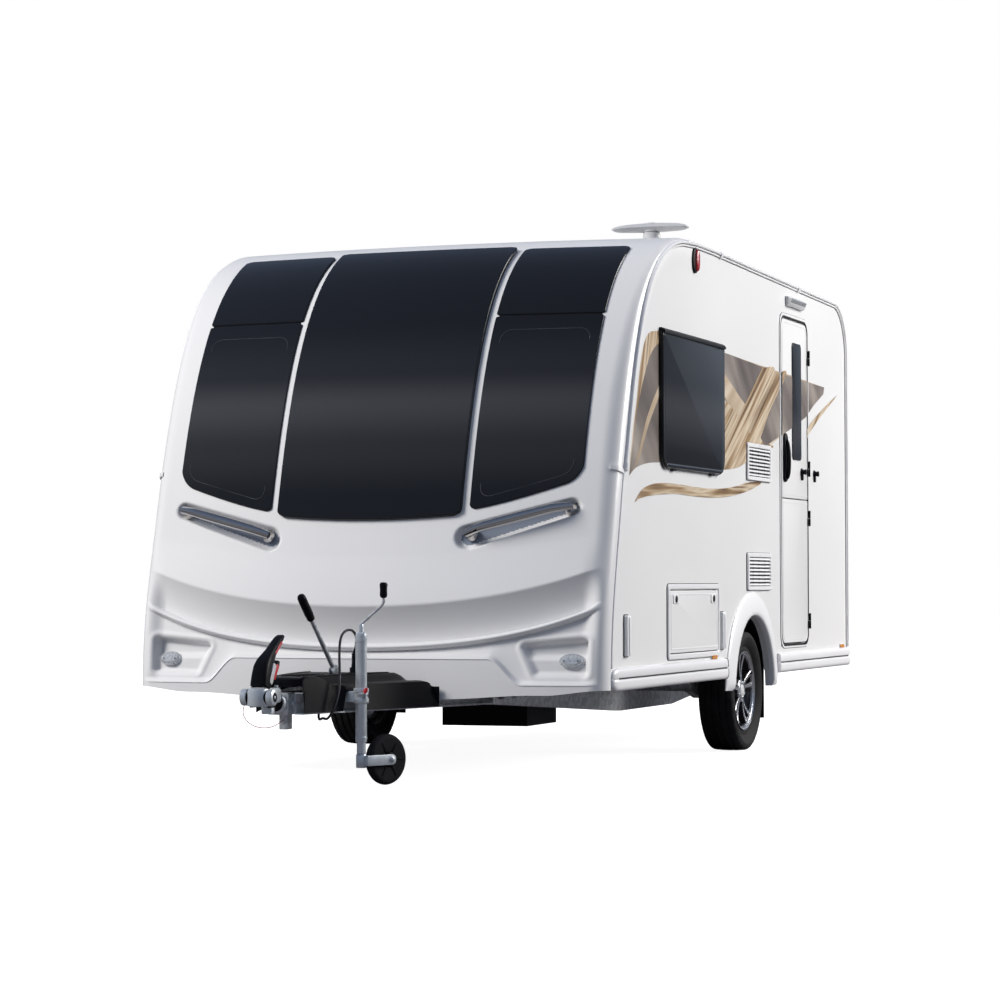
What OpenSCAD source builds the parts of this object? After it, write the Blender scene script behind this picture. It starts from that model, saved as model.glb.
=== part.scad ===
// Touring caravan for two, parked on its jockey wheel.
// Millimetres. +X is the nearside (entrance door), -Y the front, +Z up.
// The origin is on the ground, at mid width and mid overall length.
// Modules work in stations along Y: station 0 is the front end of the floor line.

/* [Body] */
// Outside width over the two side walls
body_w = 2240; // [1850:10:2700]
// Station of the rear face of the body
body_l = 4430; // [3680:10:5400]
// Height of the roof edge at the front, above the ground
roof_h = 2480; // [2050:10:3000]
// Fall of the roof edge from front to rear
roof_fall = 40; // [0:5:80]
// Thickness of the side walls, roof and rear panel
wall_t = 32; // [25:1:40]
// Thickness of the moulded front panel
front_t = 36; // [28:1:45]
// Radius of the front panel's bow, seen from above
bow_r = 6500; // [5000:100:9000]
// How far the front panel wraps round on to the sides
wrap = 80; // [60:5:110]
// Radius of the body's top rear corner
rear_r = 300; // [200:10:380]
// Thickness of the floor
floor_t = 45; // [36:1:55]
// Height of the floor's underside above the axle
ride = 165; // [130:5:200]

/* [Wheels] */
// Outside radius of each tyre
tyre_r = 303; // [250:1:365]
// Width of each tyre
tyre_w = 185; // [150:5:225]
// Radius of the rim's flange
rim_r = 195; // [160:1:235]
// Station of the axle
axle_s = 2320; // [2100:10:2500]
// Gap between the tyre's outer face and the side wall's outer face
tyre_inset = 18; // [10:1:40]
// Running gap round the tyre inside its arch
arch_gap = 75; // [60:5:90]

/* [Entrance door] */
// Width of the door leaf
door_w = 560; // [480:5:680]
// Station of the door's middle
door_s = 3215; // [3150:5:3240]
// How far the top of the door lies below the front roof edge
door_drop = 225; // [180:5:400]
// Height at which the door splits into two leaves
door_split = 1300; // [1100:5:1560]
// Running gap round every door leaf
leaf_gap = 6; // [5:1:8]
// Thickness of a door leaf
leaf_t = 32; // [26:1:38]
// How far the entrance door opens, in degrees
door_swing = 155; // [90:5:155]

/* [Side window] */
// Station of the nearside window's front edge
win_s = 710; // [500:10:800]
// Length of the nearside window
win_l = 1050; // [700:10:1300]
// How far the top of the nearside window lies below the front roof edge
win_drop = 465; // [300:5:600]
// Height of the nearside window
win_h = 640; // [500:10:780]

/* [Lockers] */
// Station of the nearside locker door's front edge
locker_s = 850; // [700:10:900]
// Length of the nearside locker door
locker_l = 820; // [600:10:985]
// Height of the nearside locker door
locker_h = 290; // [240:5:350]
// Distance of the offside service door's rear edge from the rear face of the body
service_back = 620; // [500:10:700]
// Length of the service door
service_l = 360; // [300:5:440]

/* [Drawbar] */
// Station of the coupling's socket centre, ahead of the body
socket_s = -1225; // [-1400:5:-1200]
// Radius of the socket for a 50 mm tow ball
socket_r = 25.3; // [25.1:0.1:25.6]
// Radius of the jockey wheel
jockey_r = 108; // [90:1:130]
// Outside radius of the jockey's outer tube
jockey_tube_r = 24; // [22:0.5:30]
// Distance of the jockey tube from the middle line
jockey_x = 250; // [230:5:300]
// Station of the jockey tube
jockey_s = -740; // [-760:5:-700]
// Trail of the jockey wheel behind its tube
jockey_trail = 140; // [115:5:170]

/* [Steadies] */
// Length of a corner steady's leg from its pin to its foot
steady_l = 500; // [450:10:600]

/* [Hidden] */
$fn = 48;

hw = body_w / 2;
iw = hw - wall_t;
axle_z = tyre_r;
floor_z = axle_z + ride;
floor_top = floor_z + floor_t;
skin_z = floor_z - 70;
nose_z = floor_z - 125;
head_ahead = 52;
bumper_d = 60;
shift_y = -(socket_s - head_ahead + body_l + bumper_d) / 2;

// The front outline on the middle line, from the bottom edge up to the roof joint.
sill_z = 1140;
roof_join_s = 1100;
low_curve = [[-200, nose_z], [-205, 700], [-130, 900], [-70, sill_z]];
high_curve = [[-70, sill_z], [70, sill_z + 0.42 * (roof_h - sill_z)], [300, roof_h],
    [roof_join_s, roof_h]];
low_steps = 10;
high_steps = 25;

function bez(c, t) = c[0] * pow(1 - t, 3) + 3 * c[1] * pow(1 - t, 2) * t
    + 3 * c[2] * (1 - t) * t * t + c[3] * pow(t, 3);
function bez_slope(c, t) = 3 * (c[1] - c[0]) * pow(1 - t, 2)
    + 6 * (c[2] - c[1]) * (1 - t) * t + 3 * (c[3] - c[2]) * t * t;
function inward(v) = [v[1], -v[0]] / norm(v);
function inset_point(c, t, d) = bez(c, t) + d * inward(bez_slope(c, t));
// Points of the outline set in by d, between two steps; steps past low_steps are windscreen.
function outline(d, from = 0, to = low_steps + high_steps) = [for (k = [from : to])
    k <= low_steps ? inset_point(low_curve, k / low_steps, d)
        : inset_point(high_curve, (k - low_steps) / high_steps, d)];
function reversed(list) = [for (k = [len(list) - 1 : -1 : 0]) list[k]];
// The same points moved back by the bow, as they stand at a distance x from the middle.
function bowed(points, x) = [for (p = points)
    [bow_r - sqrt(pow(bow_r - p[0], 2) - x * x), p[1]]];
function arc(c, r, a0, a1, n) = [for (k = [0 : n])
    c + r * [cos(a0 + (a1 - a0) * k / n), sin(a0 + (a1 - a0) * k / n)]];

// Joint between front panel and roof where it meets the side walls.
side_join_s = bowed([[roof_join_s, roof_h]], hw)[0][0];
roof_rear_z = roof_h - roof_fall;
rear_start_s = body_l - rear_r;
function roof_z(s) = roof_h - roof_fall * (s - roof_join_s) / (rear_start_s - roof_join_s);
function roof_edge(d) = concat(d > 0 ? [[side_join_s + d, roof_h - wrap - d]] : [],
    [[side_join_s + d, roof_z(side_join_s + d) - d]]);
function rear_corner(d) = arc([rear_start_s, roof_rear_z - rear_r], rear_r - d, 90, 0, 12);

arch_r = tyre_r + arch_gap;
spat_r = arch_r + 126;
wheel_x = hw - tyre_inset - tyre_w / 2;
box_x = wheel_x - tyre_w / 2 - 45;
box_t = 8;

door_s0 = door_s - door_w / 2;
door_s1 = door_s + door_w / 2;
door_top = roof_h - door_drop;
win_z = roof_h - win_drop - win_h;
door_bottom = floor_top + 18;
frame_t = 10;
frame_out = leaf_gap + frame_t;
flange_w = 14;
flange_t = 3;
leaf_proud = 4;
hinge_x = hw + 13;
hinge_s = door_s1 + 10;
hinge_heights = [door_bottom + 90, door_split - 120, door_split + 150, door_top - 200];
knuckle_r = 7;
knuckle_h = 44;

locker_z = floor_top + 12;
service_h = 330;
service_s = body_l - service_back - service_l;
service_z = floor_top + 60;
locker_depth = 300;

rail_x = 560;
rail_t = 4;
rail_flange = 50;
rail_front_s = 20;
rail_rear_s = body_l - 140;
arm_t = 6;
arm_h = 92;
arm_z = floor_z - 160;
housing_w = 96;
housing_s0 = socket_s + 190;
housing_s1 = socket_s + 560;
neck_s1 = socket_s + 158;
coupling_z = arm_z + 82;

clamp_z = arm_z + 72;
slider_r = 19;
tube_bottom = 185;
tube_top = 640;
fork_dir = 65;
jockey_w = 58;

steady_x = 860;
steady_pin_z = floor_z - 52;
steady_front_s = 800;
steady_rear_s = body_l - 790;
pin_r = 8;

module along_x(x0, l) {
    translate([x0, 0, 0]) rotate([90, 0, 90]) linear_extrude(l) children();
}

module along_y(y0, l) {
    translate([0, y0 + l, 0]) rotate([90, 0, 0]) linear_extrude(l) children();
}

module block(x0, x1, y0, y1, z0, z1) {
    translate([x0, y0, z0]) cube([x1 - x0, y1 - y0, z1 - z0]);
}

module both_sides() {
    children();
    mirror([1, 0, 0]) children();
}

module rod_x(x0, x1, s, z, r) {
    translate([x0, s, z]) rotate([0, 90, 0]) cylinder(h = x1 - x0, r = r);
}

module rod_y(x, y0, y1, z, r) {
    translate([x, y0, z]) rotate([-90, 0, 0]) cylinder(h = y1 - y0, r = r);
}

module rounded(s0, s1, z0, z1, r) {
    translate([s0 + r, z0]) square([s1 - s0 - 2 * r, z1 - z0]);
    translate([s0, z0 + r]) square([s1 - s0, z1 - z0 - 2 * r]);
    for (s = [s0 + r, s1 - r]) for (z = [z0 + r, z1 - r]) translate([s, z]) circle(r);
}

// A layer of the bowed front between two depths and two steps of the outline.
module front_layer(d0, d1, from = 0, to = low_steps + high_steps) {
    points = concat(outline(d0, from, to), reversed(outline(d1, from, to)));
    sweep = 30;
    translate([0, bow_r, 0]) rotate([0, 0, -90 - sweep / 2])
        rotate_extrude(angle = sweep, $fn = 480)
            polygon([for (p = points) [bow_r - p[0], p[1]]]);
}

module front_slice(x0, x1, d0, d1, from, to) {
    intersection() {
        front_layer(d0, d1, from, to);
        block(x0, x1, -400, roof_join_s + 300, nose_z - 50, roof_h + 60);
    }
}

// Outline of a side wall, as seen from the side, set in by d all round but its foot.
module wall_outline(d = 0) {
    front = bowed(outline(wrap + d), hw);
    intersection() {
        polygon(reversed(concat(front, roof_edge(d), rear_corner(d), [[body_l - d, front[0][1]]])));
        translate([-500, skin_z]) square([body_l + 1000, roof_h]);
    }
}

module arch_cut() {
    translate([axle_s, axle_z]) circle(arch_r, $fn = 120);
    translate([axle_s - arch_r, 0]) square([2 * arch_r, axle_z]);
}

// Windows, each with its low and high step on the bowed front.
step_sill = low_steps + 1;
step_side_low = low_steps + 2;
step_side_top = low_steps + 13;
step_visor_low = low_steps + 14;
step_glass_top = low_steps + 22;
centre_half = 440;
side_glass_in = 474;
side_glass_out = 968;
glass_lap = 30;
glass_t = 8;

// Half width of the notch that lets the drawbar arms through under the front panel.
arm_notch = 370;

module front_opening(x, half, from, to) {
    block(x - half, x + half, -400, roof_join_s, outline(0, from, from)[0][1] + 7,
        outline(0, to, to)[0][1] - 7);
}

module front_openings() {
    front_opening(0, centre_half - glass_lap, step_sill + 1, step_glass_top - 1);
    both_sides() front_opening((side_glass_in + side_glass_out) / 2,
        (side_glass_out - side_glass_in) / 2 - glass_lap, step_side_low + 1,
        step_side_top - 1);
}

module front_panel() {
    color("#e8eaee") difference() {
        union() {
            front_slice(-hw, hw, 0, front_t, 0, low_steps + high_steps);
            both_sides() along_x(iw, wall_t) front_return();
        }
        front_openings();
        block(-arm_notch, arm_notch, -400, 0, nose_z - 60, arm_z + arm_h + 10);
        block(-hw - 5, hw + 5, -400, 200, nose_z - 60, nose_z + 3);
    }
}

// The front panel's side return, behind the bowed face.
module front_return() {
    polygon(concat(bowed(outline(front_t / 2), hw), reversed(bowed(outline(wrap - 0.5), hw))));
}

module front_window_centre() {
    color("#15171a") front_slice(-centre_half, centre_half, -glass_t - 0.3, -0.3, step_sill,
        step_glass_top);
}

module front_side_windows() {
    color("#15171a") both_sides() {
        front_slice(side_glass_in, side_glass_out, -glass_t - 0.3, -0.3, step_side_low,
            step_side_top);
        front_slice(side_glass_in, side_glass_out, -glass_t - 0.3, -0.3, step_visor_low,
            step_glass_top);
    }
}

module side_wall_near() {
    color("white") along_x(iw, wall_t) difference() {
        wall_outline();
        arch_cut();
        translate([door_s0 - frame_out, floor_top])
            square([door_w + 2 * frame_out, door_top + frame_out - floor_top]);
        rounded(win_s + glass_lap, win_s + win_l - glass_lap, win_z + glass_lap,
            win_z + win_h - glass_lap, 40);
        translate([locker_s - frame_out, locker_z - frame_out + 4])
            square([locker_l + 2 * frame_out, locker_h + 2 * frame_out - 4]);
    }
}

// Offside windows: station, length, lower edge and height of each.
off_windows = [[win_s, win_l, win_z, win_h], [2330, 620, win_z + 60, 500],
    [body_l - 870, 460, win_z + 220, 340]];

module side_wall_off() {
    color("white") along_x(-hw, wall_t) difference() {
        wall_outline();
        arch_cut();
        for (w = off_windows) rounded(w[0] + glass_lap, w[0] + w[1] - glass_lap,
            w[2] + glass_lap, w[2] + w[3] - glass_lap, 40);
        translate([service_s - frame_out, service_z - frame_out])
            square([service_l + 2 * frame_out, service_h + 2 * frame_out]);
    }
}

// A hung window: the pane stands off the wall on a frame that fits its opening.
module hung_window(s, l, z, h) {
    rounded_frame = 12;
    along_x(hw, 22) difference() {
        rounded(s, s + l, z, z + h, 45);
        rounded(s + glass_lap + rounded_frame, s + l - glass_lap - rounded_frame,
            z + glass_lap + rounded_frame, z + h - glass_lap - rounded_frame, 30);
    }
    along_x(hw + 14, 8) rounded(s + 20, s + l - 20, z + 20, z + h - 20, 35);
    block(hw, hw + 30, s + 8, s + l - 8, z + h - 22, z + h + 6);
}

module side_window_near() {
    color("#15171a") hung_window(win_s, win_l, win_z, win_h);
}

module side_windows_off() {
    color("#15171a") mirror([1, 0, 0])
        for (w = off_windows) hung_window(w[0], w[1], w[2], w[3]);
}

module roof_panel() {
    color("white") intersection() {
        along_x(-iw, 2 * iw) polygon([[roof_join_s - 60, roof_h], [roof_join_s, roof_h],
            [rear_start_s, roof_rear_z], [rear_start_s, roof_rear_z - wall_t],
            [roof_join_s - 60, roof_h - wall_t]]);
        translate([0, bow_r, roof_h - 200])
            cylinder(h = 400, r = bow_r - roof_join_s - 0.3, $fn = 240);
    }
}

module rear_panel() {
    color("white") along_x(-iw, 2 * iw) polygon(concat(rear_corner(0),
        [[body_l, skin_z], [body_l - wall_t, skin_z]], reversed(rear_corner(wall_t))));
}

module floor_panel() {
    color("#6d6a64") difference() {
        intersection() {
            block(-iw, iw, -300, body_l - wall_t, floor_z, floor_top);
            translate([0, bow_r, 0]) cylinder(h = floor_top + 10, r = bow_r + 140, $fn = 240);
        }
        both_sides() rod_x(box_x, hw, axle_s, axle_z, arch_r + box_t);
    }
}

module wheel_boxes() {
    color("#2a2b2d") both_sides() intersection() {
        difference() {
            rod_x(box_x, iw, axle_s, axle_z, arch_r + box_t, $fn = 120);
            rod_x(box_x + box_t, iw + 5, axle_s, axle_z, arch_r, $fn = 120);
        }
        block(0, hw, axle_s - spat_r, axle_s + spat_r, floor_z, roof_h);
    }
}

rail_w = 26;
rail_proud = 14;

module edge_rails() {
    color("#f2f2f2") both_sides() along_x(hw, rail_proud) difference() {
        rail_band(0);
        translate([0, -1]) rail_band(rail_w);
    }
}

module rail_band(d) {
    low = floor_z + 15;
    intersection() {
        wall_outline(d);
        translate([-500, low - d]) square([body_l + 1000, roof_h]);
    }
}

skirt_z0 = floor_z - 90;
skirt_z1 = floor_z + 10;
skirt_d = 22;

module skirt_section() {
    difference() {
        union() {
            translate([hw, skirt_z0 + 14]) square([skirt_d, skirt_z1 - skirt_z0 - 34]);
            translate([hw, skirt_z0]) square([skirt_d - 14, skirt_z1 - skirt_z0]);
            translate([hw + skirt_d - 14, skirt_z0 + 14]) circle(14);
            translate([hw + skirt_d - 20, skirt_z1 - 20]) circle(20);
        }
        translate([hw - 60, skirt_z0 - 10]) square([60, 200]);
    }
}

module side_skirts() {
    color("white") both_sides() {
        along_y(30, axle_s - spat_r - 36) skirt_section();
        along_y(axle_s + spat_r + 6, body_l - axle_s - spat_r - 16) skirt_section();
    }
}

module wheel_spats() {
    color("white") both_sides() along_x(hw, 26) difference() {
        union() {
            translate([axle_s, axle_z]) circle(spat_r, $fn = 120);
            translate([axle_s - spat_r, axle_z]) square([2 * spat_r, 40]);
        }
        translate([axle_s, axle_z]) circle(arch_r, $fn = 120);
        translate([axle_s - spat_r - 10, axle_z + 8 - 2 * spat_r])
            square([2 * spat_r + 20, 2 * spat_r]);
    }
}

module mudflaps() {
    color("#1c1c1e") both_sides()
        block(wheel_x - tyre_w / 2, iw - 1, axle_s + arch_r - 18, axle_s + arch_r - 12, 150,
            floor_z);
}

grab_x0 = 475;
grab_x1 = 945;
grab_z0 = 1075;
grab_z1 = 1195;
grab_s = -125;

module grab_handles() {
    tilt = atan((grab_z1 - grab_z0) / (grab_x1 - grab_x0));
    length = norm([grab_x1 - grab_x0, grab_z1 - grab_z0]);
    color("silver") both_sides() difference() {
        translate([grab_x0, grab_s, grab_z0]) rotate([0, -tilt, 9]) union() {
            rod_x(0, length, 0, 0, 14, $fn = 20);
            for (x = [24, length - 24]) rod_y(x, 0, 160, 0, 12, $fn = 20);
        }
        front_layer(0, 300);
    }
}

lens_x = 975;
lens_z = 515;

module marker_lamps() {
    color("#f2b870") {
        both_sides() difference() {
            rod_y(lens_x, -130, 20, lens_z, 38, $fn = 24);
            front_layer(0, 300);
        }
        both_sides() {
            rod_x(hw, hw + 22, side_join_s + 90, roof_h - 92, 50);
            block(hw, hw + 12, 1560, 1640, skirt_z1 + 3, skirt_z1 + 23);
            block(hw, hw + 12, body_l - 190, body_l - 110, skirt_z1 + 3, skirt_z1 + 23);
        }
        block(hw, hw + 34, door_s - 180, door_s + 180, door_top + 95, door_top + 120);
    }
}

module rear_lamp_clusters() {
    color("#a01820") both_sides()
        along_y(body_l, 34) rounded(hw - 190, hw - 40, 720, 1240, 30);
}

module rear_bumper() {
    color("white") along_x(-hw + 60, 2 * hw - 120) difference() {
        rounded(body_l - 60, body_l + bumper_d, skin_z - 20, skin_z + 150, 40);
        translate([body_l - 80, skin_z - 40]) square([80, 300]);
    }
}

vent_s = 2225;
vent_l = 470;
vent_h = 190;
vent_rise = 559;
vent_low_z = axle_z + spat_r + 6;
vent_heights = [vent_low_z, vent_low_z + vent_rise];

module fridge_vents() {
    color("#eceff0") for (z = vent_heights) {
        along_x(hw, 12) difference() {
            rounded(vent_s, vent_s + vent_l, z, z + vent_h, 14);
            for (k = [0 : 6]) translate([vent_s + 24, z + 22 + 22 * k]) square([vent_l - 48, 12]);
        }
        along_x(hw, 5) rounded(vent_s + 10, vent_s + vent_l - 10, z + 10, z + vent_h - 10, 10);
    }
}

module rooflights() {
    color("#e8eaec") {
        on_roof(0, 2250) linear_extrude(56) rounded(-380, 380, -280, 280, 40);
        on_roof(250, body_l - 630) linear_extrude(50) rounded(-210, 210, -210, 210, 40);
    }
}

// Seated just clear of the sloping roof.
module on_roof(x, s) {
    translate([x, s, roof_z(s)])
        rotate([-atan(roof_fall / (rear_start_s - roof_join_s)), 0, 0])
            translate([0, 0, 0.3]) children();
}

// Entrance door: frame, two leaves on one line of hinges, window strip and handle.
module door_frame() {
    color("#e6e6e6") {
        difference() {
            union() {
                block(iw, hw, door_s0 - frame_out, door_s1 + frame_out, floor_top,
                    door_top + frame_out);
                block(hw, hw + flange_t, door_s0 - frame_out - flange_w,
                    door_s1 + frame_out + flange_w, floor_top - 2,
                    door_top + frame_out + flange_w);
            }
            block(iw - 5, hw + 10, door_s0 - leaf_gap, door_s1 + leaf_gap,
                door_bottom - leaf_gap, door_top + leaf_gap);
        }
        for (z = hinge_heights) hinge_half(z + knuckle_h / 2 + 0.5, 1);
    }
}

// One knuckle and its plate; side 1 is fixed to the frame, side -1 to the door leaf.
module hinge_half(z, side) {
    translate([hinge_x, hinge_s, z]) cylinder(h = knuckle_h / 2, r = knuckle_r);
    reach = side > 0 ? 22 : 40;
    face = side > 0 ? hw + flange_t : hw + leaf_proud;
    block(face, hinge_x + 2, side > 0 ? hinge_s : hinge_s - reach,
        side > 0 ? hinge_s + reach : hinge_s, z, z + knuckle_h / 2);
}

module door_leaf(z0, z1) {
    block(hw + leaf_proud - leaf_t, hw + leaf_proud, door_s0, door_s1, z0, z1);
}

door_win_s = door_s - 60;
door_win_w = 190;
door_win_z0 = 1510;
door_win_z1 = door_top - 115;

module upper_door() {
    color("white") {
        difference() {
            door_leaf(door_split + leaf_gap / 2, door_top);
            along_x(hw - leaf_t - 20, leaf_t + 40) rounded(door_win_s + 25,
                door_win_s + door_win_w - 25, door_win_z0 + 25,
                door_win_z1 - 25, 20);
        }
        for (z = [hinge_heights[2], hinge_heights[3]]) hinge_half(z, -1);
        rod_x(hw + leaf_proud, hw + 30, door_s1 - 140, door_split + 150, 14);
    }
}

module door_window() {
    color("#15171a") along_x(hw + leaf_proud, 6) rounded(door_win_s, door_win_s + door_win_w,
        door_win_z0, door_win_z1, 30);
}

module door_handle() {
    color("#202124") {
        along_x(hw + leaf_proud, 14) rounded(door_s0 + 22, door_s0 + 92, door_split + 85,
            door_split + 345, 30);
        along_x(hw + leaf_proud + 14, 22) rounded(door_s0 + 32, door_s0 + 62, door_split + 105,
            door_split + 325, 14);
    }
}

module lower_door() {
    color("white") {
        door_leaf(door_bottom, door_split - leaf_gap / 2);
        for (z = [hinge_heights[0], hinge_heights[1]]) hinge_half(z, -1);
    }
}

// Lined lockers behind the nearside locker door and the offside service door.
module liner(s, l, z, h, depth) {
    difference() {
        union() {
            block(iw, hw, s - frame_out, s + l + frame_out, z - frame_out + 4, z + h + frame_out);
            block(hw, hw + flange_t, s - frame_out - flange_w, s + l + frame_out + flange_w,
                z - frame_out - 4, z + h + frame_out + flange_w);
            block(hw - depth, iw, s - frame_out, s + l + frame_out, z - leaf_gap - 4,
                z + h + frame_out);
        }
        block(hw - depth + 4, hw + 10, s - leaf_gap, s + l + leaf_gap, z - leaf_gap,
            z + h + leaf_gap);
    }
}

small_hinge_places = [locker_s + 140, locker_s + locker_l - 140];
service_hinge_places = [service_z + 70, service_z + service_h - 70];

module locker_liner() {
    color("#dcdcdc") {
        liner(locker_s, locker_l, locker_z, locker_h, locker_depth);
        for (s = small_hinge_places) locker_hinge_at(s)
            knuckle(0.5, small_hinge_l, 3, 14, hw + flange_t);
    }
}

module service_liner() {
    color("#dcdcdc") mirror([1, 0, 0]) {
        liner(service_s, service_l, service_z, service_h, locker_depth);
        for (z = service_hinge_places) translate([0, service_s + service_l + 3, z])
            knuckle(0.5, small_hinge_l, 3, 14, hw + flange_t);
    }
}

// Small hinges: the locker door hangs on its lower edge, the service door on its rear edge.
small_hinge_x = hw + 8;
small_hinge_r = 5;
small_hinge_l = 40;

// Half of a small hinge from a to b along its line; the plate reaches from w0 to w1 across it.
module knuckle(a, b, w0, w1, face) {
    translate([small_hinge_x, 0, a]) cylinder(h = b - a, r = small_hinge_r);
    block(face, small_hinge_x, w0, w1, a, b);
}

// Turns a hinge line that runs up into one that runs rearward at the locker's lower edge.
module locker_hinge_at(s) {
    translate([0, s, locker_z - 3]) rotate([-90, 0, 0]) children();
}

module locker_door() {
    color("white") {
        block(hw + leaf_proud - 26, hw + leaf_proud, locker_s, locker_s + locker_l, locker_z,
            locker_z + locker_h);
        for (s = [locker_s + 90, locker_s + locker_l - 90])
            rod_x(hw + leaf_proud, hw + leaf_proud + 6, s, locker_z + locker_h - 40, 16);
        for (s = small_hinge_places) locker_hinge_at(s)
            knuckle(-small_hinge_l, 0, -14, -3, hw + leaf_proud);
    }
}

module service_door() {
    color("white") mirror([1, 0, 0]) {
        block(hw + leaf_proud - 26, hw + leaf_proud, service_s, service_s + service_l,
            service_z, service_z + service_h);
        rod_x(hw + leaf_proud, hw + leaf_proud + 6, service_s + 50, service_z + 200, 16);
        for (z = service_hinge_places) translate([0, service_s + service_l + 3, z])
            knuckle(-small_hinge_l, 0, -14, -3, hw + leaf_proud);
    }
}

// Chassis. The axle beam lies ahead of the wheels, below the floor.
arm_swing = 150;
beam_drop = 120;
beam_r = 45;

function rail_bottom(s) = s < axle_s - 450
    ? floor_z - 150 - 105 * (s - rail_front_s) / (axle_s - 450 - rail_front_s)
    : s < axle_s + 450 ? floor_z - 255
        : floor_z - 255 + 130 * (s - axle_s - 450) / (rail_rear_s - axle_s - 450);

module rail_side(d) {
    stations = [rail_front_s, axle_s - 450, axle_s + 450, rail_rear_s];
    polygon(concat([for (s = stations) [s, rail_bottom(s) + (d == 0 ? 0 : d)]],
        d == 0 ? [[rail_rear_s, floor_z], [rail_front_s, floor_z]]
            : reversed([for (s = stations) [s, rail_bottom(s)]])));
}

module chassis_rails() {
    color("#b9bcbd") both_sides() {
        difference() {
            along_x(rail_x, rail_t) rail_side(0);
            rod_x(rail_x - 5, rail_x + rail_t + 5, axle_s - arm_swing, floor_z - beam_drop,
                beam_r + 0.3);
            for (s = [120 : 180 : axle_s - 480]) slot_hole(s, floor_z - 105);
            for (s = [axle_s + 560 : 220 : rail_rear_s - 200]) slot_hole(s, floor_z - 75);
        }
        block(rail_x - rail_flange, rail_x, rail_front_s, rail_rear_s, floor_z - rail_t, floor_z);
        along_x(rail_x - rail_flange, rail_flange) rail_side(rail_t);
    }
}

module slot_hole(s, z) {
    along_x(rail_x - 5, rail_t + 10) union() {
        for (e = [-32, 32]) translate([s + e, z]) circle(26);
        translate([s - 32, z - 26]) square([64, 52]);
    }
}

module cross_members() {
    color("#b9bcbd") for (s = [560, 3250, rail_rear_s - 60])
        block(-rail_x + rail_flange + 0.5, rail_x - rail_flange - 0.5, s, s + 45,
            floor_z - 60, floor_z);
}

arm_rear_s = 500;

// Along one drawbar arm, in plan: between two distances out from its inner face.
module arm_strip(d0, d1) {
    x0 = housing_w / 2 + 0.5;
    x1 = rail_x - rail_flange - 8;
    front = housing_s0 + 60;
    run = [x1 - x0, arm_rear_s - front];
    side = [run[1], -run[0]] / norm(run);
    polygon([[x0, front] + d0 * side, [x1, arm_rear_s] + d0 * side,
        [x1, arm_rear_s] + d1 * side, [x0, front] + d1 * side]);
}

// An upright web with a flange at top and bottom.
module drawbar_arm() {
    translate([0, 0, arm_z]) linear_extrude(arm_h) arm_strip(0, arm_t);
    for (z = [arm_z, arm_z + arm_h - arm_t]) translate([0, 0, z]) linear_extrude(arm_t)
        arm_strip(0, 46);
}

module drawbar_arms() {
    color("#b9bcbd") both_sides() {
        drawbar_arm();
        block(rail_x - rail_flange - 14, rail_x - 0.5, arm_rear_s - 260, arm_rear_s - 8,
            arm_z + arm_h - arm_t, floor_z - rail_t);
    }
}

module overrun_housing() {
    color("#9fa3a5") {
        block(-housing_w / 2, housing_w / 2, housing_s0, housing_s1, arm_z, arm_z + arm_h);
        rod_y(0, neck_s1 + 0.3, housing_s0, coupling_z - 32, 34);
        block(-18, 18, housing_s0 + 50, housing_s0 + 110, arm_z - 62, arm_z);
    }
}

module coupling_head() {
    color("#c9ccd0") difference() {
        union() {
            translate([0, socket_s, coupling_z - 40]) cylinder(h = 80, r = 46);
            block(-32, 32, socket_s, neck_s1, coupling_z - 34, coupling_z + 34);
            rod_x(-74, 74, socket_s, coupling_z - 2, 34);
        }
        translate([0, socket_s, coupling_z - 50]) cylinder(h = 68, r = socket_r);
    }
}

// The stabiliser's lever stands up from the coupling head.
module stabiliser_lever() {
    color("#1b1c1e") difference() {
        translate([0, socket_s + 12, coupling_z + 34]) rotate([-28, 0, 0]) {
            block(-34, 34, -26, 26, -10, 32);
            block(-30, 30, -22, 22, 32, 136);
            block(-20, 20, -17, 17, 136, 252);
        }
        block(-60, 60, socket_s - 80, socket_s + 120, coupling_z - 20, coupling_z + 40.3);
    }
}

hand_pivot = [50, -560, floor_z + 12];
hand_lean = 48;

module handbrake_lever() {
    color("#26282a") translate(hand_pivot) rotate([hand_lean, 0, 0]) {
        cylinder(h = 330, r = 10);
        translate([0, 0, 330]) cylinder(h = 150, r = 19);
    }
    color("#26282a") block(hand_pivot[0] - 12, hand_pivot[0] + 12, hand_pivot[1] - 22,
        hand_pivot[1] + 22, cover_z1 + 0.3, hand_pivot[2] + 8);
}

cover_s0 = socket_s + 215;
cover_s1 = -206;
cover_z0 = arm_z + arm_h + 0.3;
cover_z1 = cover_z0 + 62;
cover_foot = arm_z + 8;
cover_x0 = 110;
cover_x1 = 395;

module cover_plan(d) {
    polygon([[-cover_x0 + d, cover_s0 + d], [cover_x0 - d, cover_s0 + d],
        [cover_x1 - d, cover_s1 - d], [-cover_x1 + d, cover_s1 - d]]);
}

module drawbar_cover() {
    color("#1d1f22") {
        difference() {
            translate([0, 0, cover_foot]) linear_extrude(cover_z1 - cover_foot) cover_plan(0);
            translate([0, 0, cover_foot - 1]) linear_extrude(cover_z1 - cover_foot - 2)
                cover_plan(5);
            block(-cover_x0 + 10, cover_x0 - 10, cover_s0 - 10, cover_s0 + 30, cover_foot - 1,
                cover_z0);
            block(-cover_x1 + 10, cover_x1 - 10, cover_s1 - 30, cover_s1 + 10, cover_foot - 1,
                cover_z0);
            block(cover_x0, jockey_x, jockey_s - 28, jockey_s + 28, clamp_z - 34, cover_z0);
        }
        translate([plug_x, plug_s, cover_z1]) cylinder(h = 28, r = 30);
    }
}

plug_x = 120;
plug_s = -480;
plug_r = 22;
plug_z = cover_z1 + 28;

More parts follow.
